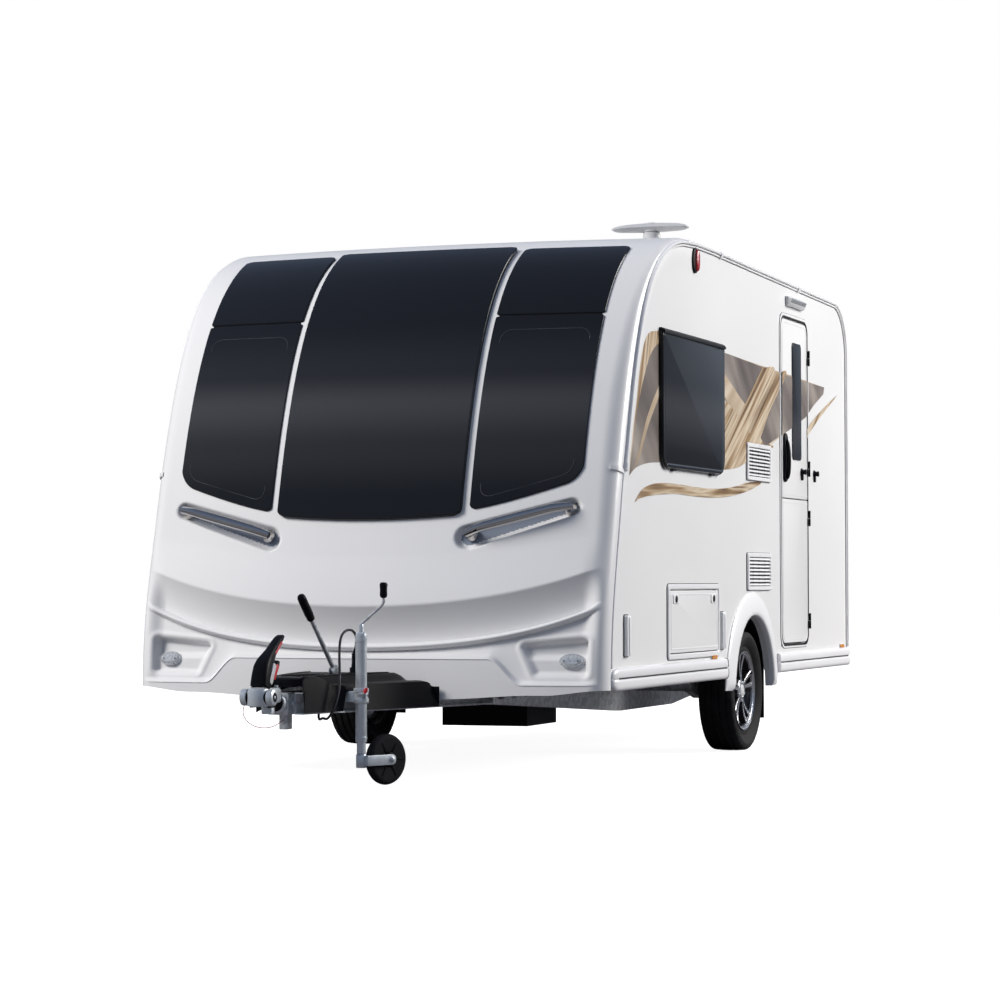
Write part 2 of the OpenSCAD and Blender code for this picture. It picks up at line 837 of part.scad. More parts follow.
module towing_plug() {
    color("#17181a") translate([plug_x, plug_s, plug_z]) {
        cylinder(h = 62, r = plug_r);
        translate([0, 0, 62]) cylinder(h = 26, r1 = plug_r - 4, r2 = 9);
    }
}

lead_r = 5.5;
lead_top = plug_z + 88.3;
// Route of the lead from its plug, forward over the cover and back up under the drawbar.
lead_route = [[plug_x, plug_s, lead_top], [plug_x, plug_s, lead_top + 26],
    [119, -492, lead_top + 54], [117, -530, lead_top + 72], [116, -590, lead_top + 70],
    [124, -655, lead_top + 48], [142, -716, lead_top + 10], [166, -776, lead_top - 50],
    [188, -824, lead_top - 118], [194, -856, lead_top - 190], [184, -880, lead_top - 250],
    [162, -890, lead_top - 288], [136, -882, arm_z - 18], [112, -856, arm_z - 24],
    [92, -822, arm_z - 20], [80, -796, arm_z - 6], [74, -784, arm_z + 10],
    [66, -778, arm_z + 20], [48.6, -778, arm_z + 20]];

cable_r = 1.6;
cable_route = [[-60, socket_s - 8, coupling_z - 36.4], [-62, socket_s - 14, coupling_z - 54],
    [-62, socket_s - 8, coupling_z - 78], [-56, socket_s + 14, coupling_z - 101],
    [-45, socket_s + 50, coupling_z - 120], [-31, socket_s + 94, coupling_z - 130],
    [-17, socket_s + 140, coupling_z - 131], [-7, socket_s + 184, coupling_z - 124],
    [-1, socket_s + 220, coupling_z - 112], [0, socket_s + 239.5, coupling_z - 106]];

// A tube swept along a route of points, as one closed solid.
module swept_tube(route, r, sides) {
    n = len(route);
    dirs = [for (k = [0 : n - 1]) let (d = route[min(k + 1, n - 1)] - route[max(k - 1, 0)])
        d / norm(d)];
    ref = [1, 0, 0.9];
    rings = [for (k = [0 : n - 1]) let (u = cross(dirs[k], ref) / norm(cross(dirs[k], ref)),
        v = cross(u, dirs[k])) for (j = [0 : sides - 1])
            route[k] + r * (cos(360 * j / sides) * u + sin(360 * j / sides) * v)];
    faces = concat([[for (j = [0 : sides - 1]) j]],
        [for (k = [0 : n - 2]) for (j = [0 : sides - 1]) let (a = k * sides + j,
            b = k * sides + (j + 1) % sides) [a, a + sides, b + sides, b]],
        [[for (j = [sides - 1 : -1 : 0]) (n - 1) * sides + j]]);
    polyhedron(points = rings, faces = faces);
}

module towing_lead() {
    color("#151515") swept_tube(lead_route, lead_r, 10);
}

module breakaway_cable() {
    color("#a02028") swept_tube(cable_route, cable_r, 8);
}

// Jockey wheel: outer tube held in a clamp, inner tube, castor fork and wheel.
module jockey_clamp() {
    color("#bfc2c4") difference() {
        union() {
            translate([jockey_x, jockey_s, clamp_z - 32]) cylinder(h = 64, r = 36);
            block(170, jockey_x, jockey_s - 22, jockey_s + 22, clamp_z - 26, clamp_z + 20);
        }
        translate([jockey_x, jockey_s, clamp_z - 50]) cylinder(h = 100, r = jockey_tube_r + 0.3);
        translate([0, 0, arm_z - 50]) linear_extrude(300) arm_strip(-200, 46.3);
    }
}

module jockey_tube() {
    color("#b7babd") translate([jockey_x, jockey_s, 0]) {
        difference() {
            translate([0, 0, tube_bottom]) cylinder(h = tube_top - tube_bottom, r = jockey_tube_r);
            translate([0, 0, tube_bottom - 1]) cylinder(h = tube_top - tube_bottom - 9,
                r = slider_r + 0.5);
        }
        translate([0, 0, tube_top]) cylinder(h = 40, r = 11);
        translate([0, 0, tube_top + 40]) sphere(8);
        translate([0, 0, tube_top + 40]) rotate([0, 50, 0]) cylinder(h = 130, r = 7);
        translate([130 * sin(50), 0, tube_top + 40 + 130 * cos(50)]) {
            sphere(8);
            cylinder(h = 62, r = 7);
            translate([0, 0, 30]) cylinder(h = 62, r = 17);
        }
    }
}

slider_bottom = jockey_r + 28;

module jockey_slider() {
    color("#b7babd") translate([jockey_x, jockey_s, slider_bottom])
        cylinder(h = tube_bottom + 260 - slider_bottom, r = slider_r);
}

module jockey_fork() {
    color("#c5c8ca") translate([jockey_x, jockey_s, 0]) rotate([0, 0, fork_dir]) {
        translate([0, 0, jockey_r - 30]) cylinder(h = 57.5, r = 22);
        block(0, jockey_trail, -jockey_w / 2 - 12, -jockey_w / 2 - 6, jockey_r - 24,
            jockey_r + 24);
        translate([jockey_trail, -jockey_w / 2 - 6, jockey_r]) rotate([90, 0, 0])
            cylinder(h = 6, r = 24);
        block(0, 24, -jockey_w / 2 - 12, 0, jockey_r - 24, jockey_r + 24);
        translate([jockey_trail, jockey_w / 2 + 4, jockey_r]) rotate([90, 0, 0])
            cylinder(h = jockey_w + 12, r = 8);
    }
}

module jockey_wheel() {
    color("#1b1b1d") translate([jockey_x, jockey_s, 0]) rotate([0, 0, fork_dir])
        translate([jockey_trail, 0, jockey_r]) rotate([90, 0, 0]) difference() {
            rotate_extrude($fn = 64) union() {
                translate([jockey_r - 22, 0]) circle(22);
                translate([20, -22]) square([jockey_r - 42, 44]);
                translate([8.2, -jockey_w / 2]) square([24, jockey_w]);
            }
            cylinder(h = jockey_w + 10, r = 8.1, center = true);
        }
}

// Axle: a beam with a trailing arm and stub axle at each end.

module axle_beam() {
    beam_s = axle_s - arm_swing;
    beam_z = floor_z - beam_drop;
    color("#a9adaf") {
        rod_x(-box_x + 60, box_x - 60, beam_s, beam_z, beam_r);
        both_sides() {
            along_x(box_x - 60, 40) {
                translate([beam_s, beam_z]) circle(50);
                translate([axle_s, axle_z]) circle(40);
                polygon([[beam_s - 14, beam_z + 48], [axle_s + 10, axle_z + 38],
                    [axle_s - 14, axle_z - 38], [beam_s - 30, beam_z - 40]]);
            }
            rod_x(box_x - 20, wheel_x + 46, axle_s, axle_z, 34);
            block(rail_x - rail_flange, rail_x - 0.5, beam_s - 90, beam_s + 90, beam_z + 40,
                floor_z - rail_t - 0.5);
        }
    }
}

module wheel_tyre() {
    shoulder = 26;
    rotate([0, 90, 0]) rotate_extrude($fn = 96) difference() {
        rounded(rim_r - 14, tyre_r, -tyre_w / 2, tyre_w / 2, shoulder);
        translate([0, -tyre_w / 2 + 22]) square([rim_r + 2, tyre_w - 44]);
    }
}

module wheel_rim() {
    spoke_n = 5;
    rotate([0, 90, 0]) {
        rotate_extrude($fn = 96) translate([rim_r - 28, -tyre_w / 2 + 24])
            square([13.7, tyre_w - 32]);
        translate([0, 0, 8]) difference() {
            union() {
                cylinder(h = 58, r = 66);
                for (k = [0 : spoke_n - 1]) rotate([0, 0, 360 * k / spoke_n])
                    for (y = [-26, 12]) translate([40, y, 34]) cube([rim_r - 60, 14, 26]);
            }
            translate([0, 0, -1]) cylinder(h = 40, r = 34.5);
        }
    }
}

module at_wheel(side) {
    translate([side * wheel_x, axle_s, axle_z]) rotate([0, 0, side > 0 ? 0 : 180])
        children();
}

module tyre_near() { color("#1d1d1f") at_wheel(1) wheel_tyre(); }
module tyre_off() { color("#1d1d1f") at_wheel(-1) wheel_tyre(); }
module rim_near() { color("#c8cbd0") at_wheel(1) wheel_rim(); }
module rim_off() { color("#c8cbd0") at_wheel(-1) wheel_rim(); }

// Corner steadies: fixed bracket, and a leg that swings down on its pin.
module at_steady(front, side) {
    s = front ? steady_front_s : steady_rear_s;
    translate([side * steady_x, s, steady_pin_z]) rotate([0, 0, front ? 180 : 0]) children();
}

module steady_bracket() {
    for (x = [-32, 26]) block(x, x + 6, -40, 40, -22, floor_z - steady_pin_z);
    block(-32, 32, -40, 40, floor_z - steady_pin_z - 5, floor_z - steady_pin_z);
    rod_x(-32, 32, 0, 0, pin_r);
}

module steady_leg() {
    difference() {
        union() {
            block(-20, 20, 0, steady_l - 40, -16, 14);
            rod_x(-20, 20, 0, 0, 18);
            block(-45, 45, steady_l - 90, steady_l, -22, -16);
        }
        rod_x(-25, 25, 0, 0, pin_r + 0.1);
        block(-15, 15, 24, steady_l - 60, -30, 9);
    }
}

module steady_brackets() {
    color("#aeb1b3") for (front = [true, false]) for (side = [-1, 1])
        at_steady(front, side) steady_bracket();
}

module steady_front_near() { color("#9a9da0") at_steady(true, 1) steady_leg(); }
module steady_front_off() { color("#9a9da0") at_steady(true, -1) steady_leg(); }
module steady_rear_near() { color("#9a9da0") at_steady(false, 1) steady_leg(); }
module steady_rear_off() { color("#9a9da0") at_steady(false, -1) steady_leg(); }

module underfloor_box() {
    color("#161718") {
        block(60, 480, 700, 1120, floor_z - 280, floor_z - 150);
        for (x = [100, 420]) block(x, x + 20, 760, 1060, floor_z - 150, floor_z - 0.3);
    }
}

aerial_x = 900;
aerial_s = 1330;

module aerial_mast() {
    color("#d9dadc") {
        on_roof(aerial_x, aerial_s) cylinder(h = 14, r = 60);
        translate([aerial_x, aerial_s, roof_z(aerial_s) + 5]) cylinder(h = 57.3, r = 20);
    }
}

module aerial_head() {
    color("#c9cbcf") translate([aerial_x, aerial_s, roof_z(aerial_s) + 68]) {
        linear_extrude(34) polygon([[-190, -60], [190, -60], [150, 20], [60, 62], [-60, 62],
            [-150, 20]]);
        translate([0, 0, -5.2]) cylinder(h = 10, r = 34);
    }
}

// Centres the overall length on the origin.
module placed() {
    translate([0, shift_y, 0]) children();
}

placed() floor_panel();
placed() side_wall_near();
placed() side_wall_off();
placed() front_panel();
placed() roof_panel();
placed() rear_panel();
placed() front_window_centre();
placed() front_side_windows();
placed() side_window_near();
placed() side_windows_off();
placed() edge_rails();
placed() side_skirts();
placed() wheel_spats();
placed() wheel_boxes();
placed() mudflaps();
placed() grab_handles();
placed() marker_lamps();
placed() rear_lamp_clusters();
placed() rear_bumper();
placed() fridge_vents();
placed() rooflights();
placed() door_frame();
placed() locker_liner();
placed() service_liner();
placed() chassis_rails();
placed() cross_members();
placed() drawbar_arms();
placed() overrun_housing();
placed() axle_beam();
placed() coupling_head();
placed() stabiliser_lever();
placed() handbrake_lever();
placed() drawbar_cover();
placed() jockey_clamp();
placed() jockey_tube();
placed() towing_plug();
placed() towing_lead();
placed() breakaway_cable();
placed() steady_brackets();
placed() underfloor_box();
placed() aerial_mast();
placed() tyre_near();
placed() rim_near();
placed() tyre_off();
placed() rim_off();
placed() upper_door();
placed() door_window();
placed() door_handle();
placed() lower_door();
placed() locker_door();
placed() service_door();
placed() jockey_slider();
placed() jockey_fork();
placed() jockey_wheel();
placed() steady_front_near();
placed() steady_front_off();
placed() steady_rear_near();
placed() steady_rear_off();
placed() aerial_head();
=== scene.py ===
"""Travel caravan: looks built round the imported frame. Metres, in the frame's axes.

Places along the caravan are given as stations, measured rearward from the front end of
the floor line, and st() turns a station into the frame's y.
"""
from math import asin, copysign, cos, degrees, dist, exp, hypot, pi, radians, sin, sqrt

import bmesh
import bpy
import numpy as np
from mathutils import Matrix, Vector


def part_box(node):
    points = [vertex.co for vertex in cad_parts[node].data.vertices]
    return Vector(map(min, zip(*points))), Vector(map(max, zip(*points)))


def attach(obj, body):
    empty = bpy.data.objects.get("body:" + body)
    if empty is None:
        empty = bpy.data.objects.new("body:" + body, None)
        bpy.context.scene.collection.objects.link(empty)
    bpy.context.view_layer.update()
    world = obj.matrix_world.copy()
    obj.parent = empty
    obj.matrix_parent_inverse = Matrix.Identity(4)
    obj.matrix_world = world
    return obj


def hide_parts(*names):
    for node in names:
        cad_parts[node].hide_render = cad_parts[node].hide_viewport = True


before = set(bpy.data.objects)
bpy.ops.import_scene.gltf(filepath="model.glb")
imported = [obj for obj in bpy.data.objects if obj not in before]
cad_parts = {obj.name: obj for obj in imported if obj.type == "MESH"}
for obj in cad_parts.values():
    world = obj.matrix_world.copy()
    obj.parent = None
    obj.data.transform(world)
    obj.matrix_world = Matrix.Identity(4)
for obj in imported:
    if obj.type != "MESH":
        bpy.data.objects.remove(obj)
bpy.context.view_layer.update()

# Driving places, from the frame where it states them.
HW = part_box("side_wall_near")[1].x
REAR_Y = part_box("rear_panel")[1].y
BODY_L = 4.43
LINE = REAR_Y - BODY_L
ROOF_Z = 2.48
ROOF_FALL, ROOF_RUN = 0.04, 3.03
AXLE_S, AXLE_Z = 2.32, 0.303
TYRE_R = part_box("tyre_near")[1].z - AXLE_Z
WHEEL_X = (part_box("tyre_near")[0].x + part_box("tyre_near")[1].x) / 2


def st(s):
    """A station turned into the frame's y."""
    return LINE + s


def ramp(a, b, v):
    """Smooth step from 0 at a to 1 at b; a may lie above b."""
    t = min(1.0, max(0.0, (v - a) / (b - a)))
    return t * t * (3 - 2 * t)


# ---------------------------------------------------------------- camera
yaw, pitch, roll = radians(19.92), radians(1.66), radians(-0.13)
ahead = Vector((-sin(yaw) * cos(pitch), cos(yaw) * cos(pitch), sin(pitch)))
right = Vector((cos(yaw), sin(yaw), 0))
up = right.cross(ahead)
right, up = right * cos(roll) + up * sin(roll), up * cos(roll) - right * sin(roll)
camera = bpy.data.objects.new("camera", bpy.data.cameras.new("camera"))
bpy.context.scene.collection.objects.link(camera)
camera.data.lens, camera.data.sensor_width, camera.data.clip_end = 105.2, 36, 300
turn = Matrix((right, up, -ahead)).transposed().to_4x4()
camera.matrix_world = Matrix.Translation((4.982, st(-12.0835), 0.844)) @ turn
bpy.context.scene.camera = camera


def node(tree, kind, **values):
    """A new shader node with its values; an underscore in a name stands for a space."""
    made = tree.nodes.new("ShaderNode" + kind)
    for name, value in values.items():
        made.inputs[name.replace("_", " ")].default_value = value
    return made


def wire(tree, *links):
    """Makes links given as (node, output, node, input)."""
    for source, out, target, into in links:
        tree.links.new(source.outputs[out], target.inputs[into])


def material(name, color, rough, metal=0.0, coat=0.0, mottle=0.05, scale=5.0, grain=0.0,
             grain_scale=300.0, spread=0.06, cells=False, shine=0.5):
    """Principled material whose colour, roughness and bump vary with procedural noise."""
    m = bpy.data.materials.new(name)
    m.use_nodes = True
    tree = m.node_tree
    shader = tree.nodes["Principled BSDF"]
    for key, value in (("Metallic", metal), ("Coat Weight", coat), ("Coat Roughness", 0.06),
                       ("Specular IOR Level", shine)):
        shader.inputs[key].default_value = value
    place = node(tree, "TexCoord")
    if cells:
        cloud, value = node(tree, "TexVoronoi", Scale=scale), "Color"
    else:
        cloud, value = node(tree, "TexNoise", Scale=scale, Detail=5), "Fac"
    tone = node(tree, "ValToRGB")
    for stop, at, k in zip(tone.color_ramp.elements, (0.3, 0.7), (1 - mottle, 1 + mottle)):
        stop.position = at
        stop.color = tuple(min(1.0, c * k) for c in color) + (1,)
    sheen = node(tree, "MapRange", To_Min=max(0.02, rough - spread), To_Max=rough + spread)
    wire(tree, (place, "Object", cloud, "Vector"), (cloud, value, tone, "Fac"),
         (tone, "Color", shader, "Base Color"), (cloud, value, sheen, "Value"),
         (sheen, "Result", shader, "Roughness"))
    if grain:
        fine = node(tree, "TexNoise", Scale=grain_scale)
        bump = node(tree, "Bump", Strength=grain, Distance=0.001)
        wire(tree, (place, "Object", fine, "Vector"), (fine, "Fac", bump, "Height"),
             (bump, "Normal", shader, "Normal"))
    return m


def opened(m):
    """A material's node tree, its coordinate node and its colour ramp node."""
    found = {n.type: n for n in m.node_tree.nodes}
    return m.node_tree, found["TEX_COORD"], found["VALTORGB"]


def streaked(name, colors, rough, metal, angle, along, across):
    """A printed film: soft bands of several colours that run at an angle from level."""
    m = material(name, colors[0], rough, metal, shine=0.25)
    tree, place, tone = opened(m)
    spin = node(tree, "Mapping", Rotation=(-radians(angle), 0, 0))
    mapping = node(tree, "Mapping", Scale=(0.01, along, across))
    stripes = node(tree, "TexNoise", Scale=1.0, Detail=2)
    wire(tree, (place, "Object", spin, "Vector"), (spin, "Vector", mapping, "Vector"),
         (mapping, "Vector", stripes, "Vector"), (stripes, "Fac", tone, "Fac"))
    stops = tone.color_ramp.elements
    stops[0].color, stops[1].color = colors[0] + (1,), colors[-1] + (1,)
    for k, c in enumerate(colors[1:-1]):
        stops.new(0.3 + 0.4 * (k + 1) / (len(colors) - 1)).color = c + (1,)
    return m


def painted_reflection_by_height(m, shades):
    """Paints a reflection into a material's colour, shading it softly by height above the ground.
    """
    tree, place, tone = opened(m)
    low, high = shades[0][0], shades[-1][0]
    split, reach = node(tree, "SeparateXYZ"), node(tree, "MapRange", From_Min=low, From_Max=high)
    wire(tree, (place, "Object", split, "Vector"), (split, "Z", reach, "Value"),
         (reach, "Result", tone, "Fac"))
    tone.color_ramp.interpolation = "EASE"
    stops, ends = tone.color_ramp.elements, {low: 0, high: -1}
    for z, color in shades:
        at = (z - low) / (high - low)
        stop = stops[ends[z]] if z in ends else stops.new(at)
        stop.position = at
        stop.color = color + (1,)
    return m


white = material("body_white", (0.82, 0.82, 0.815), 0.32, coat=0.35, mottle=0.01,
                 scale=1.2, grain=0.03, grain_scale=500)
silver = material("front_silver", (0.755, 0.755, 0.76), 0.3, coat=0.3,
                  mottle=0.012, scale=1.6, grain=0.02, grain_scale=900)
roof_sheet = material("roof_sheet", (0.66, 0.66, 0.655), 0.45, mottle=0.02, scale=2,
                      grain=0.12, grain_scale=260)
trim = material("white_trim", (0.8, 0.8, 0.81), 0.34, coat=0.2, mottle=0.015,
                scale=3, grain=0.06, grain_scale=250)
# The panes' colour carries a painted reflection: a lighter band at middle heights, darker above
# and below.
glass = painted_reflection_by_height(material("dark_glass", (0.014, 0.015, 0.018), 0.07, mottle=0.25,
                           scale=0.8, spread=0.02, shine=0.3),
                  ((1.22, (0.008, 0.009, 0.011)), (1.46, (0.022, 0.023, 0.026)),
                   (1.66, (0.044, 0.046, 0.051)), (1.86, (0.034, 0.036, 0.041)),
                   (2.06, (0.009, 0.01, 0.013))))
pane_edge = material("pane_edge", (0.006, 0.006, 0.007), 0.22, mottle=0.2, scale=9,
                     shine=0.25)
pane_line = material("pane_line", (0.045, 0.048, 0.054), 0.25, mottle=0.3, scale=6,
                     shine=0.3)
black = material("black_plastic", (0.0045, 0.005, 0.0065), 0.42, mottle=0.25,
                 scale=8, grain=0.3, grain_scale=420, shine=0.1)
gasket = material("black_rubber", (0.008, 0.008, 0.009), 0.6, mottle=0.2, scale=20,
                  grain=0.3, shine=0.15)
tread = material("tyre_rubber", (0.016, 0.016, 0.017), 0.7, mottle=0.3, scale=14,
                 grain=0.5, grain_scale=220, spread=0.1, shine=0.12)
alloy_dark = material("wheel_dark", (0.02, 0.021, 0.024), 0.28, metal=0.3, coat=0.5,
                      mottle=0.15, scale=12)
alloy = material("wheel_machined", (0.62, 0.63, 0.65), 0.24, metal=1.0, mottle=0.06,
                 scale=30, grain=0.12, grain_scale=500)
chrome = material("bright_chrome", (0.55, 0.53, 0.52), 0.1, metal=1.0, mottle=0.03,
                  scale=8)
galvanised = material("galvanised", (0.62, 0.64, 0.66), 0.42, metal=0.5,
                      mottle=0.16, scale=55, spread=0.12, grain=0.25, grain_scale=150, cells=True)
rail_zinc = material("rail_zinc", (0.8, 0.82, 0.84), 0.5, metal=0.15,
                     mottle=0.16, scale=40, spread=0.12, grain=0.25, grain_scale=150, cells=True)
zinc = material("zinc_plate", (0.64, 0.68, 0.72), 0.34, metal=0.6, mottle=0.1,
                scale=24, spread=0.1, grain=0.2, grain_scale=260)
grey = material("grey_plastic", (0.55, 0.56, 0.57), 0.4, mottle=0.05, scale=6,
                grain=0.15, grain_scale=300)
amber = material("amber_lens", (0.72, 0.28, 0.03), 0.16, coat=0.6, mottle=0.25,
                 scale=90, grain=0.5, grain_scale=160)
red = material("red_lens", (0.42, 0.014, 0.018), 0.14, coat=0.6, mottle=0.3, scale=90,
               grain=0.5, grain_scale=160)
clear = material("clear_lens", (0.62, 0.64, 0.66), 0.1, metal=0.45, coat=0.8,
                 mottle=0.25, scale=110, grain=0.6, grain_scale=120)
opal = material("opal_acrylic", (0.72, 0.75, 0.77), 0.18, coat=0.5,
                mottle=0.03, scale=4)
# Dark bluish silver: painted shade for the floors of the grab handle recesses.
recess = material("shaded_recess", (0.22, 0.25, 0.31), 0.3, coat=0.4,
                  mottle=0.05, scale=6)
sheath = material("cable_sheath", (0.016, 0.016, 0.017), 0.45, mottle=0.2, scale=40,
                  grain=0.2, grain_scale=600)
red_wire = material("red_wire", (0.36, 0.02, 0.03), 0.35, coat=0.3, mottle=0.2,
                    scale=120)
red_grip = material("red_insert", (0.55, 0.03, 0.035), 0.35, mottle=0.12, scale=40,
                    grain=0.3)
# Near-black for seams, sealant lines and vent mesh, and for the painted shadow round the awning
# brackets.
dark_seam_and_shadow = material("sealant_and_painted_shadow", (0.035, 0.036, 0.038), 0.6, mottle=0.15, scale=30)
inner = material("cabin_lining", (0.55, 0.53, 0.49), 0.6, mottle=0.06, scale=8,
                 grain=0.3, grain_scale=120)
GOLDS = [(0.13, 0.07, 0.03), (0.38, 0.25, 0.13), (0.72, 0.6, 0.44), (0.22, 0.13, 0.065)]
TAUPES = [(0.075, 0.062, 0.056), (0.18, 0.15, 0.135), (0.4, 0.35, 0.3)]
CREAMS = [(0.24, 0.165, 0.1), (0.5, 0.39, 0.27), (0.74, 0.66, 0.54)]
gold = streaked("gold_film", GOLDS, 0.34, 0.25, 31, 0.8, 26)
gold_level = streaked("gold_ribbon", GOLDS, 0.34, 0.25, 2, 1.6, 34)
gold_rise = streaked("gold_edge", GOLDS, 0.34, 0.25, 72, 1.2, 22)
taupe = streaked("taupe_film", TAUPES, 0.36, 0.15, -38, 0.9, 4.0)
cream = streaked("cream_film", CREAMS, 0.36, 0.15, 24, 1.0, 5.0)


# ---------------------------------------------------------------- mesh building
class Shape:
    """Gathers skins of points, each with its material, and makes one object of them."""

    def __init__(self):
        self.points, self.faces, self.index, self.mats = [], [], [], []

    def add(self, points, faces, mat):
        base = len(self.points)
        self.points += [tuple(p) for p in points]
        if mat not in self.mats:
            self.mats.append(mat)
        self.faces += [[base + k for k in f] for f in faces]
        self.index += [self.mats.index(mat)] * len(faces)

    def stack(self, loops, mat, caps=(True, True), closed=True, wrap=False):
        """Joins loops of equally many points; wrap also joins the last loop to the first."""
        n, count = len(loops[0]), len(loops)
        points = [p for loop in loops for p in loop]
        faces = []
        for i in range(count if wrap else count - 1):
            j = (i + 1) % count
            for k in range(n if closed else n - 1):
                m = (k + 1) % n
                faces.append([i * n + k, i * n + m, j * n + m, j * n + k])
        if caps[0] and not wrap:
            faces.append(list(range(n))[::-1])
        if caps[1] and not wrap:
            faces.append([(count - 1) * n + k for k in range(n)])
        self.add(points, faces, mat)

    def slab(self, outline, place, h0, h1, mat, bevel=0.003, steps=3):
        """A plate from h0 to h1 with its outer edge rounded."""
        loops = [[place(a, b, h0) for a, b in outline]]
        for k in range(steps + 1):
            q = pi / 2 * k / steps
            rim = inset(outline, bevel * (1 - cos(q)))
            height = h1 - copysign(bevel * (1 - sin(q)), h1 - h0)
            loops.append([place(a, b, height) for a, b in rim])
        self.stack(loops, mat)

    def ring(self, outer, hole, place, h0, h1, mat, bevel=0.002):
        """A flat frame between two outlines of equally many points."""
        loops = [(outer, h0), (outer, h1 - bevel), (inset(outer, bevel), h1),
                 (inset(hole, -bevel), h1), (hole, h1 - bevel), (hole, h0)]
        self.stack([[place(a, b, h) for a, b in line] for line, h in loops], mat, wrap=True)

    def tube(self, path, radius, mat, sides=16, caps=(True, True)):
        """A round bar along a path; radius is a number or one for each point."""
        path = [Vector(p) for p in path]
        radii = [radius] * len(path) if isinstance(radius, (int, float)) else radius
        loops, ref = [], None
        for k, p in enumerate(path):
            d = (path[min(k + 1, len(path) - 1)] - path[max(k - 1, 0)]).normalized()
            if ref is None:
                ref = d.orthogonal().normalized()
            ref = (ref - d * ref.dot(d)).normalized()
            other = d.cross(ref)
            loops.append([p + radii[k] * (cos(t) * ref + sin(t) * other) for t in around(sides)])
        self.stack(loops, mat, caps)

    def lathe(self, profile, place, mat, sides=48, caps=(True, True), wrap=False):
        """Turns (radius, height) points round an axis; place maps (a, b, height)."""
        loops = [[place(r * cos(t), r * sin(t), h) for t in around(sides)] for r, h in profile]
        self.stack(loops, mat, caps, wrap=wrap)

    def block(self, low, high, mat, bevel=0.003):
        """A box with rounded upright edges and top."""
        thin = min(high[0] - low[0], high[1] - low[1])
        flat = rounded(low[0], high[0], low[1], high[1], min(bevel * 2, 0.49 * thin), 3)
        self.slab(flat, level, low[2], high[2], mat, bevel)

    def plate(self, a0, a1, b0, b1, r, *rest):
        """A slab on a round-cornered rectangle."""
        self.slab(rounded(a0, a1, b0, b1, r), *rest)

    def bar(self, profile, place, stations, mat):
        """A straight bar whose section is given as (out, height) points."""
        self.stack([[place(s, z, h) for h, z in profile] for s in stations], mat)

    def bolt(self, r, h0, h1, place, cut=0.002):
        """A hexagonal head with its edge cut back."""
        self.lathe([(r, h0), (r, h1 - cut), (r - cut, h1), (0.0005, h1)], place, zinc, 6)

    def sheet(self, outline, place, h, mat):
        """A single flat face; an outline clipped to nothing is left out."""
        if len(outline) > 2:
            self.add([place(a, b, h) for a, b in outline], [list(range(len(outline)))], mat)

    def done(self, name, body="caravan", replaces=(), angle=38, slot=None):
        """Makes the object, lets it ride on its body and hides the CAD pieces it replaces; slot is
        not used.
        """
        mesh = bpy.data.meshes.new(name)
        mesh.from_pydata(self.points, [], self.faces)
        for m in self.mats:
            mesh.materials.append(m)
        mesh.polygons.foreach_set("material_index", self.index)
        bm = bmesh.new()
        bm.from_mesh(mesh)
        bmesh.ops.recalc_face_normals(bm, faces=bm.faces)
        bm.to_mesh(mesh)
        bm.free()
        mesh.shade_smooth()
        mesh.set_sharp_from_angle(angle=radians(angle))
        obj = bpy.data.objects.new(name, mesh)
        bpy.context.scene.collection.objects.link(obj)
        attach(obj, body)
        if replaces:
            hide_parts(*replaces)
        return obj


def rounded(a0, a1, b0, b1, r, n=6):
    """A rectangle with round corners; r may give the four radii from the low corner round."""
    radii = r if isinstance(r, tuple) else (r,) * 4
    corners = ((a0, b0, 1, 1, 180), (a1, b0, -1, 1, 270), (a1, b1, -1, -1, 0), (a0, b1, 1, -1, 90))
    out = []
    for (a, b, da, db, start), q in zip(corners, radii):
        for k in range(n + 1):
            t = radians(start + 90 * k / n)
            out.append((a + da * q + q * cos(t), b + db * q + q * sin(t)))
    return out


def around(n):
    """The angles of n points round a circle."""
    return np.linspace(0, 2 * pi, n, endpoint=False)


def ellipse(a, b, ra, rb, n):
    """An ellipse round (a, b)."""
    return [(a + ra * cos(t), b + rb * sin(t)) for t in around(n)]


def inset(points, d):
    """The outline moved inwards by d; it runs anticlockwise."""
    p = np.array(points, float)
    before, after = p - np.roll(p, 1, 0), np.roll(p, -1, 0) - p
    n1 = np.stack([-before[:, 1], before[:, 0]], 1)
    n2 = np.stack([-after[:, 1], after[:, 0]], 1)
    n1 /= np.linalg.norm(n1, axis=1)[:, None] + 1e-12
    n2 /= np.linalg.norm(n2, axis=1)[:, None] + 1e-12
    n = n1 + n2
    n /= np.linalg.norm(n, axis=1)[:, None] + 1e-12
    return [tuple(q) for q in p + d * n / np.maximum(0.5, (n * n1).sum(1))[:, None]]


def smooth(points, n=8):
    """A smooth curve through the points."""
    p = [np.array(q, float) for q in points]
    p = [2 * p[0] - p[1]] + p + [2 * p[-1] - p[-2]]
    out = []
    for k in range(1, len(p) - 2):
        a, b, c, d = p[k - 1:k + 3]
        for t in np.linspace(0, 1, n, endpoint=False):
            out.append(tuple(0.5 * (2 * b + (c - a) * t + (2 * a - 5 * b + 4 * c - d) * t * t
                                    + (3 * b - a - 3 * c + d) * t ** 3)))
    return out + [tuple(p[-2])]


def side(sign):
    """Placing on a side wall: a is the station, b the height, h how far out from the wall."""
    return lambda a, b, h: (sign * (HW + h), st(a), b)


near, off = side(1), side(-1)


def hand(sign):
    """Name of the side that a sign stands for."""
    return "near" if sign > 0 else "off"


def level(a, b, h):
    """Placing flat in the frame's own axes."""
    return (a, b, h)


def moved(place, da, db, dh=0.0):
    """A placing with its origin moved."""
    return lambda a, b, h: place(da + a, db + b, dh + h)


def roof_z(s):
    """Height of the roof's surface at a station."""
    return ROOF_Z - ROOF_FALL * (s - 1.1) / ROOF_RUN


def on_rear(a, b, h):
    """Placing on the rear face: a is x, b the height, h how far out."""
    return (a, REAR_Y + h, b)


